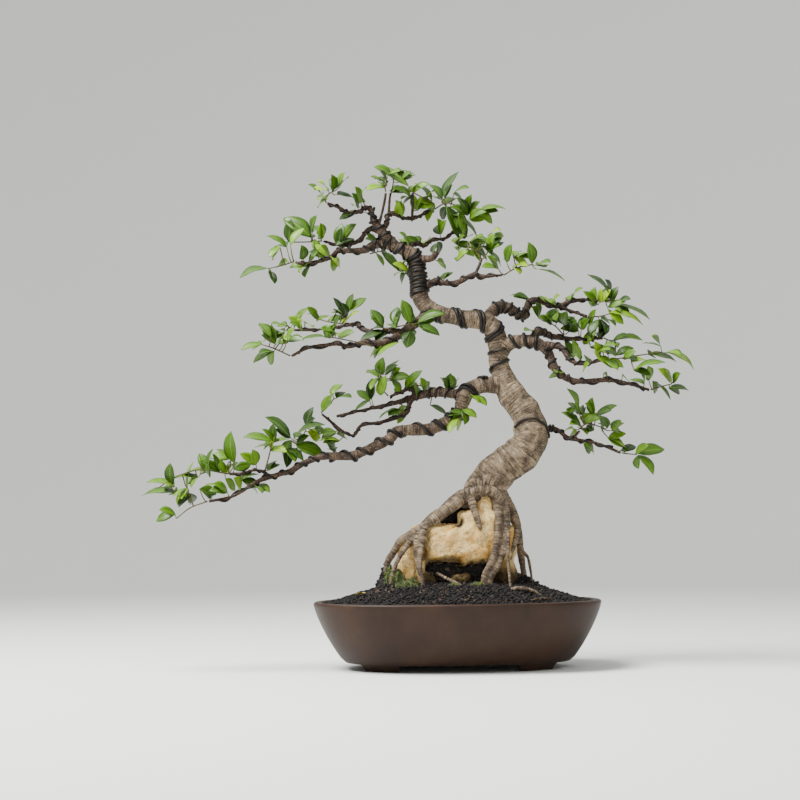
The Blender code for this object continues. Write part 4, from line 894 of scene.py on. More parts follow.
def makeSoil():
    # dark volcanic granules and crushed bark: matt, almost black when damp, a few brown and grey grains
    made, tree, shader = newMaterial("darkVolcanicSoil", {"Roughness": 0.86, "Specular IOR Level": 0.3})
    onObject = {"Vector": addNode(tree, "ShaderNodeTexCoord").outputs["Object"]}
    # one tone for each grain, 4.8 mm
    grains = addNode(tree, "ShaderNodeTexVoronoi", {"Scale": 210.0, "Randomness": 1.0}, onObject)
    tone = addNode(tree, "ShaderNodeSeparateColor", links={"Color": grains.outputs["Color"]})
    grit = addNode(tree, "ShaderNodeTexNoise", {"Scale": 1100.0, "Detail": 3.0}, onObject)
    colour = addRamp(tree, tone.outputs["Red"], [
        (0.0, "0b0a0a"), (0.5, "171413"), (0.82, "241f1c"), (0.95, "2f2823"), (0.995, "5c4a3a")])
    gritShade = addRamp(tree, grit.outputs["Fac"], [(0.35, "9a9490"), (0.6, "ffffff")])
    colour = mixColours(tree, 0.6, colour, gritShade, "MULTIPLY")
    tree.links.new(colour, shader.inputs["Base Color"])
    addBump(tree, shader, [(grit.outputs["Fac"], 0.0006, 0.6)])
    return made


soil = {
    "edgeDrop": 4 * mm,       # below the rim at the wall
    "mound": 85 * mm,
    "moundCap": 34 * mm,
    "moundPower": 1.25,
    "grain": 2.6 * mm,        # half a grain's width
    "spacing": 4.4 * mm,
    # grains caught under the roots and in the rock: x, y, z and half sizes in millimetres
    "pockets": [
        (-4, 0, 134, 26, 12, 16), (-16, -24, 44, 36, 14, 22), (28, -24, 44, 24, 14, 20),
        (-46, -32, 26, 12, 10, 14)],
    "bedLow": 60 * mm,        # the bed's underside, above the ground
    # soil banked against the roots: x, y, radius, height in millimetres
    "banks": [(-112, -22, 15, 40), (-96, -46, 22, 14), (104, 10, 34, 14), (60, 60, 40, 10),
              (-60, 60, 40, 10)],
}


def soilHeight(x, y):  # x and y from the pot's middle, in metres
    reach = innerHalf(potHigh.z - soil["edgeDrop"])
    power = pot["planPower"]
    share = ((abs(x) / reach) ** power + (abs(y) / (reach - pot["depthLess"])) ** power) ** (1 / power)
    rise = soil["mound"] * max(1 - share, 0) ** soil["moundPower"]
    height = -soil["edgeDrop"] + soil["moundCap"] * math.tanh(rise / soil["moundCap"])
    for bankX, bankY, radius, tall in soil["banks"]:
        away = math.hypot(x / mm - bankX, y / mm - bankY) / radius
        height += tall * mm * math.exp(-away ** 2 * 1.6)
    height += noise.noise(Vector((x, y, 0)) * 55) * 2.0 * mm
    return height


def addGrain(heap, place, size, turn, picker):
    shape = Matrix.Diagonal((size, size * picker.uniform(0.7, 1), size * picker.uniform(0.6, 0.9), 1))
    bmesh.ops.create_icosphere(heap, subdivisions=1, radius=1.0,
                               matrix=Matrix.Translation(place) @ turn @ shape)


def buildSoil():
    reach = innerHalf(potHigh.z - soil["edgeDrop"]) - 0.5 * mm
    bed = bmesh.new()
    ring = bmesh.ops.create_circle(bed, segments=96, radius=1.0)["verts"]
    setPlan(ring, innerHalf(soil["bedLow"]) - 0.5 * mm, soil["bedLow"])
    bmesh.ops.contextual_create(bed, geom=list(ring))
    for share in [1.0, 0.985] + [0.94 - 0.055 * i for i in range(17)]:
        ring = extrudeRing(bed, ring)
        setPlan(ring, reach, 0, share)
        for vert in ring:
            vert.co.z = rimCentre.z + soilHeight(vert.co.x - rimCentre.x, vert.co.y - rimCentre.y) - 1.5 * mm
    bmesh.ops.contextual_create(bed, geom=list(ring))
    bmesh.ops.recalc_face_normals(bed, faces=bed.faces)

    stoneTree = BVHTree.FromObject(stonePiece, bpy.context.evaluated_depsgraph_get())
    picker = random.Random(3)
    columns = int(reach / soil["spacing"]) + 1
    power = pot["planPower"]
    for column in range(-columns, columns + 1):
        heap = bmesh.new()
        for row in range(-columns, columns + 1):
            x = (column + (row % 2) * 0.5 + picker.uniform(-0.4, 0.4)) * soil["spacing"]
            y = (row * 0.9 + picker.uniform(-0.4, 0.4)) * soil["spacing"]
            share = (abs(x) / reach) ** power + (abs(y) / (reach - pot["depthLess"])) ** power
            size = soil["grain"] * picker.uniform(0.6, 1.25)
            if share > (1 - size / reach * 1.4) ** power:
                continue
            place = rimCentre + Vector((x, y, soilHeight(x, y) + picker.uniform(-0.4, 0.5) * size))
            near, normal, _, _ = stoneTree.find_nearest(place)
            if (place - near).dot(normal) < -2 * mm:
                continue
            turn = Matrix.Rotation(picker.uniform(0, math.tau), 4,
                                   Vector((picker.random(), picker.random(), 0.3)).normalized())
            addGrain(heap, place, size, turn, picker)
        addMesh(bed, meshFromBm(heap, "grains"))
    for x, y, z, halfX, halfY, halfZ in soil["pockets"]:
        heap = bmesh.new()
        middle = fromRim(x, y, z)
        half = Vector((halfX, halfY, halfZ)) * mm
        core = Matrix.Translation(middle) @ Matrix.Diagonal((*(half * 0.93), 1))
        bmesh.ops.create_icosphere(heap, subdivisions=3, radius=1.0, matrix=core)
        area = halfX * halfZ * 2 + halfX * halfY * 2 + halfY * halfZ * 2
        for _ in range(int(area * 2.1 / (soil["spacing"] / mm) ** 2 * 1.6)):
            way = Vector((picker.gauss(0, 1), picker.gauss(0, 1), picker.gauss(0, 1))).normalized()
            size = soil["grain"] * picker.uniform(0.6, 1.2)
            place = middle + Vector((way.x * half.x, way.y * half.y, way.z * half.z))
            addGrain(heap, place, size, Matrix.Rotation(picker.uniform(0, math.tau), 4, way), picker)
        addMesh(bed, meshFromBm(heap, "grains"))
    return meshFromBm(bed, "soil")


soilMaterial = makeSoil()
soilPiece = placePiece("volcanicSoil", buildSoil(), soilMaterial, ["soil"])
report("soil, %d faces" % len(soilPiece.data.polygons))


# wire

def makeWireFinish():
    # black anodised aluminium training wire: satin, weathered to grey-brown where bark and hands have rubbed
    # it
    made, tree, shader = newMaterial("anodisedAluminiumWire", {"Metallic": 0.7, "Roughness": 0.42})
    onObject = {"Vector": addNode(tree, "ShaderNodeTexCoord").outputs["Object"]}
    # 13 mm patches
    rubbed = addNode(tree, "ShaderNodeTexNoise", {"Scale": 75.0, "Detail": 4.0, "Roughness": 0.65}, onObject)
    fine = addNode(tree, "ShaderNodeTexNoise", {"Scale": 700.0, "Detail": 2.0}, onObject)
    colour = addRamp(tree, rubbed.outputs["Fac"], [(0.35, "161412"), (0.55, "24201d"), (0.75, "40382f")])
    tree.links.new(colour, shader.inputs["Base Color"])
    rough = addNode(tree, "ShaderNodeMapRange", {"To Min": 0.34, "To Max": 0.62},
                    {"Value": rubbed.outputs["Fac"]})
    tree.links.new(rough.outputs["Result"], shader.inputs["Roughness"])
    addBump(tree, shader, [(fine.outputs["Fac"], 0.0002, 0.25)])
    return made


heavy, medium, light = 5.8, 4.0, 2.6  # wire diameters in millimetres
wire = {
    "perTurn": 16,        # points in each turn of a coil
    "seat": 0.86,         # how far a wire's middle stands off the bark, in wire radii
    "wander": 0.016,      # how unevenly the turns are spaced, as a share of the coil
    "wanderings": 2.3,
    "smoothings": 3,
}
wireCoils = {  # limb, first and last point on its route, turns, diameter, start angle, hand
    "trunkWireElbow": [("trunk", 10.9, 15.4, 3.2, heavy, 2.4, 1),
                       ("trunk", 11.13, 15.63, 3.2, heavy, 2.4, 1),
                       ("trunk", 8.6, 10.4, 1.6, heavy, 1.2, 1)],
    "trunkWireNeck": [("trunk", 17.5, 20.3, 6.0, heavy, 1.0, 1),
                      ("trunk", 17.68, 20.48, 6.0, heavy, 1.0, 1)],
    "topLeftWire": [("trunk", 20.6, 29.5, 8.0, medium, 0.2, 1), ("trunk", 20.8, 24.0, 3.0, heavy, 2.0, -1)],
    "apexWire": [("apex", 1.2, 5.2, 4.5, heavy * 0.85, 2.2, -1)],
    "lowLeftWire": [("lowLeft", 4.6, 11.8, 7.5, heavy, 2.6, 1), ("lowLeft", 1.3, 3.3, 1.3, heavy, 1.6, 1),
                    ("lowLeft", 1.55, 3.55, 1.3, heavy, 1.6, 1),
                    ("lowLeft", 4.9, 8.0, 3.7, heavy * 0.8, 2.6, 1)],
    "lowLeftEndWire": [("lowLeft", 11.9, 18.6, 6.0, medium, 0.8, 1)],
    "lowLeftUpperWire": [("lowLeftUpper", 0.9, 3.5, 4, medium, 0.4, -1),
                         ("lowLeftUpper", 3.5, 7, 4.5, light, 0.4, -1)],
    "midLeftWire": [("midLeft", 0.9, 9.6, 7.5, medium, 1.4, 1)],
    "rightUpperWire": [("rightUpper", 1.2, 5.0, 5.0, heavy * 0.85, 0.0, -1)],
    "rightUpperEndWire": [("rightUpper", 5.1, 11.5, 6.0, medium * 0.85, 1.0, -1)],
    "rightMainWire": [("rightMain", 1.2, 5.0, 3.5, heavy, 0.6, 1),
                      ("rightMain", 5.0, 12.8, 6.5, medium, 1.8, 1)],
    "rightLowWire": [("rightLow", 0.7, 1.3, 2.0, medium, 0.9, -1),
                     ("rightLow", 1.3, 5.6, 4.0, medium, 0.9, -1)],
}
twigCoils = [
    ("lowLeftLower", 0.5, 6.8, 6, light, 0, 1), ("lowLeftPad", 0.5, 3, 2.5, light, 0, 1),
    ("lowLeftFork", 0.6, 3.6, 3, light, 1, 1), ("midLeftUpper", 0.8, 6.8, 7, light * 1.1, 0, -1),
    ("rightMainBack", 0.8, 4.8, 5.5, light * 1.2, 0, 1), ("rightMainFront", 0.9, 4.8, 5, light * 1.2, 0, -1),
    ("upRight", 0.9, 6.8, 5.5, medium, 0, 1), ("upRightTwig", 0.8, 5.8, 5, light, 0, 1),
    ("upLeftBack", 0.5, 3.7, 4, light, 0, 1), ("apex", 5.4, 10, 5, light * 1.2, 0, -1),
    ("apexRight", 0.6, 7, 6, light * 1.1, 0, 1), ("rightUpperLow", 0.4, 1.8, 2.5, light, 0, 1),
]
woodTree = BVHTree.FromObject(woodPiece, bpy.context.evaluated_depsgraph_get())


def sampleAt(name, index):  # the route's samples hold their own point number
    samples = limbs[name]
    for i in range(len(samples) - 1):
        if samples[i + 1][2] >= index:
            share = (index - samples[i][2]) / max(samples[i + 1][2] - samples[i][2], 1e-6)
            place = samples[i][0].lerp(samples[i + 1][0], share)
            radius = samples[i][1] + (samples[i + 1][1] - samples[i][1]) * share
            return place, radius, frames[name][i]
    return samples[-1][0], samples[-1][1], frames[name][-1]


def onBark(place, wireRadius):  # lays a point of wire on the bark
    near, normal, _, _ = woodTree.find_nearest(place)
    away = place - near
    if away.dot(normal) < 0:
        away = normal
    return near + (away.normalized() * 0.5 + normal * 0.5).normalized() * wireRadius * wire["seat"]


def coilSamples(name, first, last, turns, diameter, startAngle, hand):
    radius = diameter * mm / 2
    count = round(turns * wire["perTurn"])
    places = []
    for step in range(count + 1):
        done = step / count
        wander = wire["wander"] * math.sin(math.tau * wire["wanderings"] * done) * math.sin(math.pi * done)
        share = done + wander
        place, limbRadius, (tangent, side, other, _) = sampleAt(name, first + (last - first) * share)
        angle = startAngle + hand * math.tau * step / wire["perTurn"]
        around = side * math.cos(angle) + other * math.sin(angle)
        places.append(onBark(place + around * (limbRadius + radius), radius))
    for _ in range(wire["smoothings"]):
        between = [a * 0.25 + b * 0.5 + c * 0.25 for a, b, c in zip(places, places[1:], places[2:])]
        places = [places[0]] + between + [places[-1]]
    return [(place, radius) for place in places]


def wirePiece(name, coils, replaced=()):
    bm = bmesh.new()
    for coil in coils:
        addMesh(bm, tubeMesh(name, coilSamples(*coil), 1))
    placePiece(name, meshFromBm(bm, name), wireFinish, replaced)


def nodeName(name):  # camelCase to the CAD's words
    return "".join("_" + letter.lower() if letter.isupper() else letter for letter in name)


wireFinish = makeWireFinish()
for name, coils in wireCoils.items():
    wirePiece(name, coils, [nodeName(name)])
wirePiece("twigWires", twigCoils)
looseLoop = [  # a thin wire laid over the trunk to its anchor: x, y, z in millimetres
    (90, -22, 271), (100, -28, 280), (117, -31, 285), (131, -27, 282), (142, -18, 270), (147, -8, 255)]
loopRadius = 1.75
loopRoute = denseRoute([(*point, loopRadius) for point in looseLoop], 5)
loopSamples = [(onBark(place, loopRadius * mm), loopRadius * mm) for place, _, _ in loopRoute]
placePiece("trunkLoopWire", tubeMesh("trunkLoopWire", loopSamples, 2), wireFinish)
report("wires")


# leaves

def makeLeaf():
    # ficus leaves: leathery and waxy, deep green above, paler and matt below, a pale midrib and faint side
    # veins
    made, tree, shader = newMaterial("ficusLeaf", {"Specular IOR Level": 0.32})
    blade = addNode(tree, "ShaderNodeAttribute", {"attribute_name": "blade"})
    tone = addNode(tree, "ShaderNodeAttribute", {"attribute_name": "leafTone"})
    stem = addNode(tree, "ShaderNodeAttribute", {"attribute_name": "stemShare"})
    parts = addNode(tree, "ShaderNodeSeparateXYZ", links={"Vector": blade.outputs["Vector"]})
    onObject = {"Vector": addNode(tree, "ShaderNodeTexCoord").outputs["Object"]}
    mottle = addNode(tree, "ShaderNodeTexNoise", {"Scale": 130.0, "Detail": 3.0}, onObject)
    colour = addRamp(tree, tone.outputs["Fac"], [
        (0.0, "1a300b"), (0.25, "2a4708"), (0.5, "416406"), (0.75, "618709"), (1.0, "8dad14")])
    mottleShade = addRamp(tree, mottle.outputs["Fac"], [(0.35, "c4cfa8"), (0.6, "ffffff")])
    colour = mixColours(tree, 0.6, colour, mottleShade, "MULTIPLY")
    offRib = addNode(tree, "ShaderNodeMath", {"operation": "ABSOLUTE"}, {0: parts.outputs["Y"]})
    rib = addNode(tree, "ShaderNodeMapRange", {"From Min": 0.07, "From Max": 0.02, "To Max": 0.5},
                  {"Value": offRib.outputs["Value"]})  # the midrib is about 1 mm wide
    lean = addNode(tree, "ShaderNodeMath", {"operation": "MULTIPLY_ADD", 1: -0.16},
                   {0: offRib.outputs["Value"], 2: parts.outputs["X"]})
    # 12 side veins a leaf, 3 mm apart
    veins = addNode(tree, "ShaderNodeMath", {"operation": "PINGPONG", 1: 0.042}, {0: lean.outputs["Value"]})
    veinMask = addNode(tree, "ShaderNodeMapRange", {"From Min": 0.012, "From Max": 0.0, "To Max": 0.16},
                       {"Value": veins.outputs["Value"]})
    colour = mixColours(tree, veinMask.outputs["Result"], colour, linearColour("6d9030"))
    colour = mixColours(tree, rib.outputs["Result"], colour, linearColour("82a23a"))
    below = addNode(tree, "ShaderNodeMapRange", {"From Min": 0.1, "From Max": -0.4},
                    {"Value": parts.outputs["Z"]})
    pale = mixColours(tree, 0.35, colour, linearColour("7d9a44"))
    colour = mixColours(tree, below.outputs["Result"], colour, pale)
    stemColour = addRamp(tree, tone.outputs["Fac"], [(0.0, "422c1c"), (0.5, "4c4a1c"), (1.0, "5f7a26")])
    colour = mixColours(tree, stem.outputs["Fac"], colour, stemColour)
    tree.links.new(colour, shader.inputs["Base Color"])
    gloss = addNode(tree, "ShaderNodeMapRange",
                    {"From Min": -0.5, "From Max": 0.3, "To Min": 0.62, "To Max": 0.4},
                    {"Value": parts.outputs["Z"]})
    tree.links.new(gloss.outputs["Result"], shader.inputs["Roughness"])
    addBump(tree, shader, [(veinMask.outputs["Result"], 0.0003, 0.6), (mottle.outputs["Fac"], 0.0005, 0.2)])
    return made


leaf = {
    # share of the length, half width as a share of the full width
    "outline": [(0.0, 0.02), (0.08, 0.17), (0.2, 0.36), (0.35, 0.48), (0.5, 0.5), (0.65, 0.46), (0.8, 0.34),
                (0.92, 0.16), (1.0, 0.01)],
    "width": 0.55,        # of the length
    "broadest": 1.35,     # how much broader the broadest are
    "shortest": 32 * mm,
    "thickness": 0.35 * mm,
    "fold": 0.2,
    "company": 0.6,       # how often each of the two neighbours behind a leaf is there
    "arch": 0.09,
    "spread": 16 * mm,    # how far leaves stand in front of and behind their stem
}


def leafTemplate():  # share of the length, share of the half width, and 1 above, -1 below
    bm = bmesh.new()
    columns = len(leaf["outline"]) - 1
    bmesh.ops.create_grid(bm, x_segments=columns, y_segments=4, size=1.0)
    for vert in bm.verts:
        vert.co.x = leaf["outline"][round((vert.co.x + 1) / 2 * columns)][0]
        vert.co.z = 0 if vert.is_boundary else 1
    below = bmesh.ops.duplicate(bm, geom=list(bm.verts) + list(bm.edges) + list(bm.faces))["geom"]
    bmesh.ops.reverse_faces(bm, faces=[part for part in below if isinstance(part, bmesh.types.BMFace)])
    for part in below:
        if isinstance(part, bmesh.types.BMVert):
            part.co.z = -part.co.z
    bmesh.ops.remove_doubles(bm, verts=bm.verts, dist=0.0001)
    bmesh.ops.recalc_face_normals(bm, faces=bm.faces)
    return meshFromBm(bm, "leafTemplate")


leafShape = leafTemplate()
outlineHalf = dict((round(share, 3), half) for share, half in leaf["outline"])


def leafLayers(bm):
    return (bm.verts.layers.float_vector.new("blade"), bm.verts.layers.float.new("leafTone"),
            bm.verts.layers.float.new("stemShare"))


def addLeaf(bm, layers, foot, tip, width, tone, picker, facing=None, shortest=leaf["shortest"]):
    bladeLayer, toneLayer, stemLayer = layers
    flat = tip - foot
    length = max(flat.length * 1.02, shortest * picker.uniform(0.9, 1.1))
    lean = math.sqrt(max(length ** 2 - flat.length ** 2, 0)) * picker.choice((-1, 1))
    along = (flat + Vector((0, lean, 0))).normalized()
    seen = flat.length * width / (leaf["width"] * length)
    turned = min(1.0, seen)
    broad = leaf["width"] * min(max(seen, 1.0), leaf["broadest"])
    view = Vector((0, -1, 0))
    front = (view - along * view.dot(along)).normalized()
    edge = along.cross(front)
    if edge.z < 0 or (abs(edge.z) < 0.25 and picker.random() < 0.5):
        edge = -edge
    normal = (front * turned + edge * math.sqrt(1 - turned ** 2)).normalized()
    if facing:
        normal = (facing - along * facing.dot(along)).normalized()
    side = normal.cross(along)
    arch = leaf["arch"] * picker.uniform(0.4, 1.4)
    for vert in addMesh(bm, leafShape):
        share, across, face = vert.co
        half = outlineHalf[round(share, 3)] * broad
        curve = arch * 4 * share * (1 - share) + leaf["fold"] * abs(across) * half
        wave = 0.012 * math.sin(share * 9 + across * 3 + length * 900) * abs(across)
        vert.co = (foot + along * share * length + side * across * half * length
                   + normal * ((curve + wave) * length + face * leaf["thickness"] / 2))
        vert[bladeLayer] = (share, across, face)
        vert[toneLayer] = tone
        vert[stemLayer] = 0.0


def addStem(bm, layers, samples, tone):
    _, toneLayer, stemLayer = layers
    for vert in addMesh(bm, tubeMesh("stem", samples, 1)):
        vert[toneLayer] = tone
        vert[stemLayer] = 1.0


# places on the thin limbs, in millimetres, where a leaf can also grow
limbPlaces = [(place - rimCentre) / mm for name, samples in limbs.items() if "root" not in name
              for place, radius, _ in samples if radius < 6 * mm]


def nearestOnStem(stem, x, z):  # the point of the stem or the branch behind it that looks nearest
    stemPlaces = [Vector(a).lerp(Vector(b), step / 10) for a, b in zip(stem, stem[1:]) for step in range(11)]

    def gapTo(place):
        return math.hypot(place.x - x, place.z - z)
    onStem = min(stemPlaces, key=gapTo)
    onLimb = min(limbPlaces, key=lambda place: gapTo(place) + abs(place.y - onStem.y) * 0.3)
    return onLimb if gapTo(onLimb) < gapTo(onStem) * 0.7 else onStem


def buildShoot(name, stem, leaves, seed):
    picker = random.Random(seed)
    bm = bmesh.new()
    layers = leafLayers(bm)
    points = [(*point, 1.3 - 0.5 * i / len(stem)) for i, point in enumerate(stem)]
    stemSamples = [(place, radius) for place, radius, _ in denseRoute(points, 6)]
    addStem(bm, layers, stemSamples, 0.2)
    for footX, footZ, tipX, tipZ, width in leaves:
        near = nearestOnStem(stem, footX, footZ)
        root = fromRim(*near)
        gap = math.hypot(near.x - footX, near.z - footZ) * mm
        aside = picker.uniform(-1, 1) * leaf["spread"] * min(1, 0.35 + gap / (20 * mm))
        foot = fromRim(footX, near.y, footZ) + Vector((0, aside, 0))
        tip = fromRim(tipX, near.y, tipZ) + Vector((0, aside * 1.3, 0))
        tone = min(max(picker.gauss(0.5, 0.2) + (0.12 if (tip - foot).length < 25 * mm else -0.04), 0), 1)
        middle = (root + foot) / 2 - Vector((0, 0, (foot - root).length * 0.12))
        if (foot - root).length > 3 * mm:
            stout = min(1.2, 0.75 + (foot - root).length / (60 * mm)) * mm
            addStem(bm, layers, [(root, stout), (middle, stout * 0.85), (foot, stout * 0.7)], 0.5)
        addLeaf(bm, layers, foot, tip, width, tone, picker)
        for depth in (3 * mm, 7 * mm):  # neighbours behind, so the shoot is as full from the back
            if picker.random() > leaf["company"]:
                continue
            long = leaf["shortest"] * picker.uniform(0.55, 0.85)
            way = (tip - foot).normalized() + Vector((picker.uniform(-0.8, 0.8), picker.uniform(0.1, 0.9),
                                                      picker.uniform(-0.8, 0.8)))
            behind = foot + Vector((0, depth, 0))
            shade = min(max(tone + picker.uniform(-0.3, 0.2), 0), 1)
            addLeaf(bm, layers, behind, behind + way.normalized() * long, 0.55, shade, picker)
    placePiece(name, meshFromBm(bm, name), leafFinish, [nodeName(name)])
    return len(leaves)


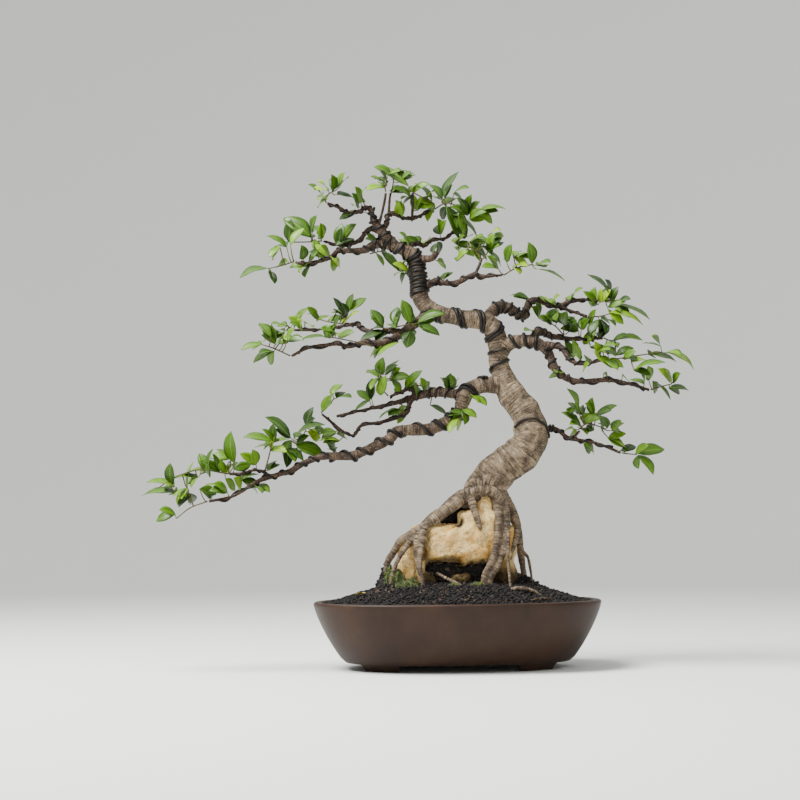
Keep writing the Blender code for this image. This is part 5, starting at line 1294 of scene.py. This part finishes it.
# each shoot: its stem, then its leaves as foot x, z, tip x, z and how broad it looks for its length
shoots = {
    "shootFarLeft": ([(-358, -28, 203), (-405, -32, 210), (-445, -36, 196), (-466, -38, 182)], [
        (-439, 174, -499, 170, .17), (-445, 187, -447, 221, .5), (-441, 183, -484, 190, .2),
        (-405, 198, -455, 195, .15), (-389, 207, -431, 202, .15), (-391, 205, -405, 237, .5),
        (-422, 178, -413, 222, .15), (-386, 198, -379, 243, .2), (-371, 207, -382, 235, .25),
        (-354, 228, -375, 240, .2), (-347, 219, -351, 270, .42), (-363, 203, -357, 223, .35),
        (-349, 210, -323, 218, .6), (-402, 199, -412, 180, .35), (-363, 196, -349, 177, .5),
        (-313, 217, -317, 240, .65), (-336, 193, -310, 201, .25)]),
    "shootFarLeftLow": ([(-388, -51, 160), (-415, -53, 150), (-436, -54, 134)], [
        (-357, 174, -391, 186, .15), (-400, 180, -384, 164, .45), (-416, 173, -431, 153, .5),
        (-439, 140, -470, 130, .45), (-336, 179, -345, 196, .6), (-315, 184, -303, 172, .45),
        (-420, 182, -440, 168, .2)]),
    "shootLowLeftFront": ([(-298, -48, 208), (-290, -55, 235), (-287, -60, 251)], [
        (-287, 251, -331, 258, .3), (-284, 250, -301, 270, .3), (-290, 246, -316, 243, .2),
        (-292, 207, -287, 216, .5), (-288, 238, -272, 246, .4)]),
    "shootLowLeftBack": ([(-242, -26, 225), (-244, -12, 250), (-236, 5, 276)], [
        (-260, 259, -300, 292, .28), (-258, 255, -272, 232, .5), (-252, 248, -207, 231, .45),
        (-267, 243, -239, 221, .3), (-235, 276, -224, 309, .42), (-255, 259, -204, 279, .2),
        (-223, 274, -205, 268, .6), (-234, 270, -218, 256, .6), (-188, 269, -212, 264, .4),
        (-182, 254, -215, 253, .2), (-190, 237, -197, 247, .5), (-187, 264, -173, 258, .6),
        (-262, 256, -284, 252, .3)]),
    "shootLowLeftEnd": ([(-211, -21, 298), (-200, -26, 308), (-190, -30, 320)], [
        (-210, 300, -193, 326, .45), (-192, 325, -178, 342, .55), (-186, 320, -161, 319, .3),
        (-161, 304, -137, 319, .25)]),
    "shootLowLeftPad": ([(-105, 14, 326), (-120, 18, 345), (-116, 22, 362)], [
        (-116, 361, -112, 387, .65), (-132, 323, -131, 357, .45), (-118, 327, -108, 358, .5),
        (-110, 361, -86, 386, .2), (-100, 352, -86, 374, .2), (-98, 354, -81, 361, .2),
        (-120, 357, -140, 362, .2), (-98, 354, -85, 335, .2), (-95, 332, -83, 330, .5),
        (-135, 321, -160, 304, .2), (-84, 312, -84, 298, .5), (-87, 305, -120, 288, .1)]),
    "shootLowLeftTop": ([(-28, 28, 339), (-45, 34, 342), (-64, 40, 346)], [
        (-77, 337, -50, 367, .35), (-65, 347, -53, 336, .25), (-44, 334, -45, 348, .65),
        (-7, 331, -21, 357, .3), (-38, 311, -11, 295, .3), (-2, 334, 8, 352, .3)]),
    "shootBase": ([(18, -22, 308), (22, -34, 298), (24, -42, 288)], [
        (12, 300, 34, 285, .45), (3, 286, 5, 267, .5), (26, 322, 36, 308, .4), (10, 292, -12, 290, .3)]),
    "shootMidLeftEnd": ([(-256, -71, 384), (-282, -74, 396), (-300, -74, 402)], [
        (-300, 403, -332, 393, .35), (-281, 391, -314, 373, .35), (-285, 412, -303, 434, .5),
        (-279, 404, -299, 424, .5), (-267, 421, -300, 407, .2), (-261, 409, -249, 422, .6),
        (-268, 404, -272, 424, .4)]),
    "shootMidLeftOuter": ([(-257, 16, 434), (-262, 14, 438), (-266, 10, 442)], [
        (-267, 439, -290, 441, .25), (-255, 439, -231, 470, .3), (-260, 428, -257, 443, .5),
        (-241, 435, -240, 448, .6), (-238, 445, -225, 436, .25), (-270, 432, -285, 425, .3)]),
    "shootMidLeftTop": ([(-178, 6, 442), (-196, 16, 446), (-216, 22, 452)], [
        (-218, 453, -234, 463, .4), (-219, 448, -199, 459, .4), (-195, 448, -189, 461, .5),
        (-172, 453, -192, 484, .3), (-167, 462, -138, 485, .42), (-178, 460, -192, 468, .3),
        (-173, 443, -150, 460, .2)]),
    "shootMidLeftInner": ([(-112, -34, 428), (-92, -46, 430), (-68, -52, 434)], [
        (-107, 426, -148, 409, .3), (-112, 430, -131, 460, .5), (-111, 433, -110, 453, .35),
        (-92, 434, -89, 464, .55), (-91, 427, -88, 441, .5), (-69, 435, -82, 472, .5),
        (-58, 435, -13, 448, .35), (-57, 433, -23, 416, .4), (-68, 424, -75, 396, .75)]),
    "shootMidLeftLow": ([(-128, -64, 398), (-150, -70, 404), (-190, -72, 412)], [
        (-202, 413, -185, 431, .7), (-187, 421, -176, 444, .35), (-185, 416, -200, 420, .5),
        (-180, 413, -169, 421, .6), (-202, 413, -240, 409, .2), (-114, 399, -132, 384, .3),
        (-87, 405, -121, 383, .25)]),
    "shootUpLeftEnd": ([(-255, 22, 546), (-275, 24, 540), (-296, 26, 536)], [
        (-297, 536, -342, 519, .3), (-295, 534, -288, 517, .15), (-267, 572, -299, 589, .3),
        (-277, 570, -289, 552, .3), (-239, 548, -241, 569, .7), (-264, 546, -283, 540, .6),
        (-230, 541, -244, 524, .25), (-260, 572, -237, 600, .4)]),
    "shootUpLeftBack": ([(-210, 45, 583), (-232, 48, 582), (-262, 48, 582)], [
        (-227, 588, -273, 621, .5), (-264, 582, -259, 619, .5), (-227, 600, -219, 622, .5),
        (-211, 586, -209, 607, .65), (-218, 561, -222, 585, .6), (-215, 559, -220, 545, .7),
        (-197, 551, -210, 568, .4), (-182, 572, -178, 611, .5), (-172, 584, -154, 601, .4),
        (-158, 585, -186, 573, .4), (-196, 552, -187, 541, .5)]),
    "shootUpLeftHanging": ([(-132, 21, 557), (-122, 24, 560), (-112, 24, 562)], [
        (-123, 561, -111, 537, .3), (-114, 562, -86, 528, .35), (-121, 572, -139, 577, .4),
        (-84, 529, -71, 543, .3), (-70, 526, -93, 521, .2), (-75, 522, -68, 508, .3)]),
    "shootApexLeft": ([(-200, -17, 634), (-202, -20, 642), (-192, -22, 650)], [
        (-190, 652, -183, 677, .75), (-206, 644, -228, 659, .3), (-197, 652, -212, 661, .4),
        (-199, 639, -210, 631, .5), (-177, 660, -163, 667, .3), (-182, 644, -157, 642, .4),
        (-146, 636, -146, 651, .7), (-144, 648, -137, 663, .5), (-150, 628, -160, 637, .5),
        (-155, 620, -176, 618, .3), (-155, 620, -130, 619, .25)]),
    "shootCrownLeft": ([(-105, -16, 651), (-106, -18, 660), (-104, -19, 668)], [
        (-101, 678, -68, 660, .35), (-103, 662, -114, 679, .4), (-108, 670, -130, 680, .15),
        (-108, 657, -128, 670, .25)]),
    "shootCrownMiddle": ([(-97, 14, 657), (-94, 16, 664), (-92, 18, 680)], [
        (-95, 682, -99, 700, .75), (-88, 688, -67, 691, .3), (-90, 678, -82, 688, .3),
        (-81, 672, -62, 684, .4), (-94, 656, -83, 665, .5), (-80, 615, -84, 637, .6)]),
    "shootCrownRight": ([(-62, 21, 657), (-50, 20, 650), (-36, 20, 644)], [
        (-62, 657, -59, 670, .75), (-63, 649, -80, 649, .2), (-30, 642, -58, 673, .25),
        (-54, 629, -46, 645, .4), (-26, 640, -46, 629, .55), (-37, 650, -25, 661, .3)]),
    "shootApexRight": ([(-26, 41, 632), (-8, 42, 642), (14, 40, 636), (34, 38, 622)], [
        (-13, 651, -34, 678, .4), (-10, 651, 15, 695, .28), (5, 656, 31, 661, .35), (-8, 639, 11, 654, .5),
        (27, 620, 9, 648, .4), (27, 624, 47, 640, .5), (46, 626, 90, 631, .25), (30, 612, 59, 621, .4),
        (14, 628, 20, 590, .4), (-7, 637, 12, 586, .4), (-2, 625, 44, 589, .22)]),
    "shootUpRightBack": ([(6, 54, 601), (4, 56, 596), (14, 58, 590)], [
        (-18, 590, -7, 610, .6), (23, 587, 37, 597, .4), (12, 568, 26, 572, .4), (8, 578, 22, 586, .4),
        (-43, 571, -34, 587, .5), (-52, 571, -63, 587, .8), (-68, 569, -84, 586, .35)]),
    "shootUpRightEnd": ([(80, -48, 510), (98, -50, 520), (124, -50, 526)], [
        (125, 528, 119, 562, .5), (130, 517, 174, 495, .14), (94, 524, 103, 508, .6),
        (103, 538, 120, 541, .2),
        (132, 525, 149, 526, .2), (96, 542, 111, 554, .5), (58, 553, 81, 566, .4), (56, 551, 76, 530, .3),
        (84, 530, 96, 548, .4), (70, 520, 58, 534, .4)]),
    "shootUpRightFork": ([(46, -15, 541), (40, -10, 552), (24, -6, 566)], [
        (9, 542, 28, 559, .3), (25, 571, 56, 541, .3), (58, 575, 77, 583, .3), (29, 571, 49, 578, .3),
        (-23, 571, -20, 553, .6), (-25, 539, -14, 523, .4), (-13, 511, -8, 524, .8),
        (44, 562, 60, 560, .3)]),
    "shootRightUpperEnd": ([(242, 66, 480), (254, 64, 482), (266, 60, 482)], [
        (240, 475, 215, 497, .4), (231, 474, 229, 494, .5), (245, 479, 244, 499, .4),
        (261, 496, 223, 525, .25),
        (261, 479, 272, 503, .5), (255, 479, 254, 496, .4), (269, 476, 322, 449, .2),
        (254, 469, 273, 457, .35),
        (195, 482, 213, 499, .15), (262, 486, 258, 510, .3)]),
    "shootRightUpperLow": ([(220, 38, 453), (236, 32, 452), (256, 26, 456)], [
        (253, 457, 309, 437, .22), (241, 449, 261, 434, .3), (236, 447, 238, 425, .4),
        (208, 432, 219, 446, .7),
        (205, 431, 187, 452, .35), (178, 438, 182, 457, .8), (163, 453, 186, 461, .3),
        (222, 440, 232, 462, .4)]),
    "shootRightUpperBase": ([(118, 54, 471), (122, 64, 482), (128, 70, 486)], [
        (129, 487, 97, 493, .2), (158, 475, 142, 486, .4), (151, 485, 163, 476, .3),
        (165, 475, 174, 486, .3),
        (168, 460, 181, 470, .5), (127, 424, 110, 423, .4)]),
    "shootRightBackTop": ([(178, 33, 424), (168, 34, 436), (156, 32, 444)], [
        (140, 451, 127, 467, .5), (150, 446, 165, 458, .5), (168, 442, 172, 462, .5),
        (195, 385, 199, 404, .7),
        (197, 373, 184, 384, .5), (190, 430, 200, 444, .5), (160, 440, 148, 452, .6),
        (213, 408, 228, 415, .4)]),
    "shootRightBackEnd": ([(246, 55, 420), (254, 54, 416), (264, 50, 414)], [
        (261, 415, 308, 413, .25), (270, 405, 257, 407, .7), (228, 412, 214, 424, .5),
        (246, 404, 262, 396, .5),
        (240, 420, 252, 430, .4), (223, 404, 236, 396, .6), (267, 391, 279, 398, .2),
        (267, 391, 255, 396, .3)]),
    "shootRightFrontEnd": ([(234, -77, 371), (262, -80, 374), (296, -78, 379), (322, -74, 382)], [
        (301, 379, 345, 368, .25), (328, 382, 373, 355, .25), (322, 392, 294, 400, .15),
        (275, 366, 296, 369, .4),
        (261, 373, 278, 382, .65), (222, 384, 239, 384, .5), (223, 374, 215, 399, .5),
        (228, 390, 249, 392, .4),
        (209, 367, 207, 384, .8), (275, 354, 323, 363, .2), (234, 371, 249, 352, .6),
        (246, 359, 237, 374, .5)]),
    "shootRightMainEnd": ([(303, -73, 324), (316, -74, 328), (332, -74, 332)], [
        (301, 339, 296, 359, .75), (294, 333, 273, 342, .4), (305, 337, 331, 305, .2),
        (338, 336, 326, 352, .4),
        (339, 336, 347, 347, .7), (333, 327, 365, 323, .3), (200, 355, 207, 364, .5),
        (168, 353, 158, 354, .4),
        (262, 348, 276, 340, .4), (232, 352, 240, 340, .4)]),
    "shootRightLowTop": ([(200, 12, 269), (212, 10, 278), (234, 10, 272)], [
        (196, 297, 178, 333, .3), (203, 276, 171, 296, .3), (193, 286, 185, 301, .6),
        (206, 293, 196, 313, .45),
        (223, 292, 209, 309, .5), (228, 290, 262, 307, .3), (246, 271, 237, 294, .6),
        (237, 265, 230, 282, .55),
        (252, 265, 271, 278, .35), (246, 255, 276, 236, .2), (212, 260, 200, 272, .6),
        (206, 246, 223, 229, .45),
        (205, 281, 220, 291, .5), (190, 270, 174, 262, .15), (220, 265, 208, 279, .4)]),
    "shootRightLowEnd": ([(266, 6, 230), (278, 4, 228), (290, 2, 227)], [
        (287, 229, 334, 235, .42), (291, 226, 314, 194, .4), (270, 231, 278, 240, .4)]),
}
leafFinish = makeLeaf()
count = 0
for number, (name, (stem, leaves)) in enumerate(shoots.items()):
    count += buildShoot(name, stem, leaves, number)
report("shoots, %d leaves" % count)


# moss, and what lies on the soil

def makeMoss():
    # cushion moss: soft, matt tufts, yellow-green at their tips; darker toward their bases and on the
    # cushion between them, partly the moss's own older growth and partly painted shade
    made, tree, shader = newMaterial("cushionMoss",
                                     {"Roughness": 0.95, "Sheen Weight": 0.3, "Specular IOR Level": 0.1})
    onObject = {"Vector": addNode(tree, "ShaderNodeTexCoord").outputs["Object"]}
    height = addNode(tree, "ShaderNodeAttribute", {"attribute_name": "tuft"})
    clumps = addNode(tree, "ShaderNodeTexNoise", {"Scale": 240.0, "Detail": 4.0}, onObject)
    colour = addRamp(tree, clumps.outputs["Fac"], [(0.32, "1a1f06"), (0.52, "3f4d0c"), (0.72, "8a9c1e")])
    tipsAndShadedBases = mixColours(tree, height.outputs["Fac"], mixColours(tree, 0.75, colour, linearColour("141906")),
                      colour)
    tree.links.new(tipsAndShadedBases, shader.inputs["Base Color"])
    addBump(tree, shader, [(clumps.outputs["Fac"], 0.0015, 0.6)])
    return made


moss = {
    "tuftLength": 2.6 * mm,
    "tuftWidth": 0.8 * mm,
    "tufts": 900,
    # x, y from the rim's middle, half length, half depth, half height, in millimetres; the half length sets
    # how many tufts
    "cushions": {
        "mossLeft": [(-80, -62, 17, 11, 9), (-94, -50, 11, 9, 16), (-70, -58, 8, 6, 14),
                     (-106, -38, 8, 8, 24)],
        "mossFront": [(30, -66, 10, 7, 5), (-6, -68, 9, 6, 4)],
        "mossBack": [(62, 96, 26, 17, 10), (30, 104, 14, 10, 7)],
    },
}


def cushionPoint(base, way, half):  # where a direction meets an uneven cushion's skin
    swell = 1 + noise.noise(way * 2.3 + base * 30) * 0.3 + noise.noise(way * 7) * 0.1
    return base + Vector((way.x * half[0], way.y * half[1], way.z * half[2])) * mm * swell


def buildMoss(name, cushions, seed):
    picker = random.Random(seed)
    bm = bmesh.new()
    tuftLayer = bm.verts.layers.float.new("tuft")
    for x, y, halfX, halfY, halfZ in cushions:
        base = rimCentre + Vector((x * mm, y * mm, soilHeight(x * mm, y * mm) - halfZ * 0.2 * mm))
        made = bmesh.ops.create_icosphere(bm, subdivisions=4, radius=1.0)
        for vert in made["verts"]:
            vert.co = cushionPoint(base, vert.co.normalized(), (halfX, halfY, halfZ))
            # low values darken the cushion between tufts: partly older growth, partly painted shade
            vert[tuftLayer] = 0.25
        for _ in range(int(moss["tufts"] * halfX / 26)):
            way = Vector((picker.gauss(0, 1), picker.gauss(0, 1), abs(picker.gauss(0, 1)))).normalized()
            place = cushionPoint(base, way, (halfX, halfY, halfZ))
            lean = (way + Vector((picker.gauss(0, 0.3), picker.gauss(0, 0.3), 0.4))).normalized()
            long = moss["tuftLength"] * picker.uniform(0.6, 1.3)
            turn = lean.to_track_quat("Z", "Y").to_matrix().to_4x4()
            tuft = bmesh.ops.create_cone(bm, cap_ends=True, segments=4, radius1=moss["tuftWidth"],
                                         radius2=0.1 * mm,
                                         depth=long,
                                         matrix=Matrix.Translation(place + lean * long * 0.3) @ turn)
            for vert in tuft["verts"]:
                vert[tuftLayer] = 1.0 if (vert.co - place).dot(lean) > long * 0.3 else 0.3
    return meshFromBm(bm, name)


mossFinish = makeMoss()
for number, (name, cushions) in enumerate(moss["cushions"].items()):
    placePiece(name, buildMoss(name, cushions, number), mossFinish, [nodeName(name)])


def makeYellowLeaf():
    # a fallen ficus leaf: yellow, dry and matt, browned in spots
    made, tree, shader = newMaterial("fallenFicusLeaf", {"Roughness": 0.6})
    onObject = {"Vector": addNode(tree, "ShaderNodeTexCoord").outputs["Object"]}
    spots = addNode(tree, "ShaderNodeTexNoise", {"Scale": 380.0, "Detail": 3.0}, onObject)
    colour = addRamp(tree, spots.outputs["Fac"], [(0.3, "8a6a22"), (0.45, "d2b23a"), (0.7, "e2cc5a")])
    tree.links.new(colour, shader.inputs["Base Color"])
    addBump(tree, shader, [(spots.outputs["Fac"], 0.0004, 0.5)])
    return made


def onSoil(x, y, lift):
    return rimCentre + Vector((x * mm, y * mm, soilHeight(x * mm, y * mm) + lift * mm))


fallenBm = bmesh.new()
addLeaf(fallenBm, leafLayers(fallenBm), onSoil(-159, -56, 3.2), onSoil(-141, -64, 3.6), 0.5, 1.0,
        random.Random(4),
        facing=up, shortest=18 * mm)
placePiece("fallenLeaf", meshFromBm(fallenBm, "fallenLeaf"), makeYellowLeaf(),
           ["fallen_leaf"])

twigPoints = [onSoil(108, -130, 3.4), onSoil(115, -123, 4.2), onSoil(122, -118, 4), onSoil(129, -116, 4.4),
              onSoil(137, -111, 3.6)]
twigRadii = (0.9, 1.5, 1.2, 1.7, 1.0)
twigBm = bmesh.new()
twigFrame = twigBm.verts.layers.float_vector.new("barkFrame")
twigSize = twigBm.verts.layers.float.new("limbSize")
for vert in addMesh(twigBm, tubeMesh("twig", [(p, r * mm) for p, r in zip(twigPoints, twigRadii)], 2)):
    vert[twigFrame] = vert.co - twigPoints[0]
    vert[twigSize] = 9 * mm
placePiece("fallenTwig", meshFromBm(twigBm, "fallenTwig"), barkMaterial, ["fallen_twig"])


def makeScreen():
    # moulded polypropylene mesh: black, waxy and slightly glossy, dusted with soil
    made, tree, shader = newMaterial("mouldedPolypropylene", {"Roughness": 0.5})
    onObject = {"Vector": addNode(tree, "ShaderNodeTexCoord").outputs["Object"]}
    dust = addNode(tree, "ShaderNodeTexNoise", {"Scale": 260.0, "Detail": 4.0}, onObject)
    colour = addRamp(tree, dust.outputs["Fac"], [(0.4, "161616"), (0.6, "242322"), (0.75, "4a4038")])
    tree.links.new(colour, shader.inputs["Base Color"])
    rough = addNode(tree, "ShaderNodeMapRange", {"To Min": 0.35, "To Max": 0.8},
                    {"Value": dust.outputs["Fac"]})
    tree.links.new(rough.outputs["Result"], shader.inputs["Roughness"])
    addBump(tree, shader, [(dust.outputs["Fac"], 0.0003, 0.4)])
    return made


screenFinish = makeScreen()
for name, finish in (("drainage_screen_left", screenFinish), ("drainage_screen_right", screenFinish),
                     ("anchor_wire", wireFinish)):
    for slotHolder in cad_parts[name].material_slots:
        slotHolder.material = finish
report("moss and loose things")

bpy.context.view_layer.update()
report("done")
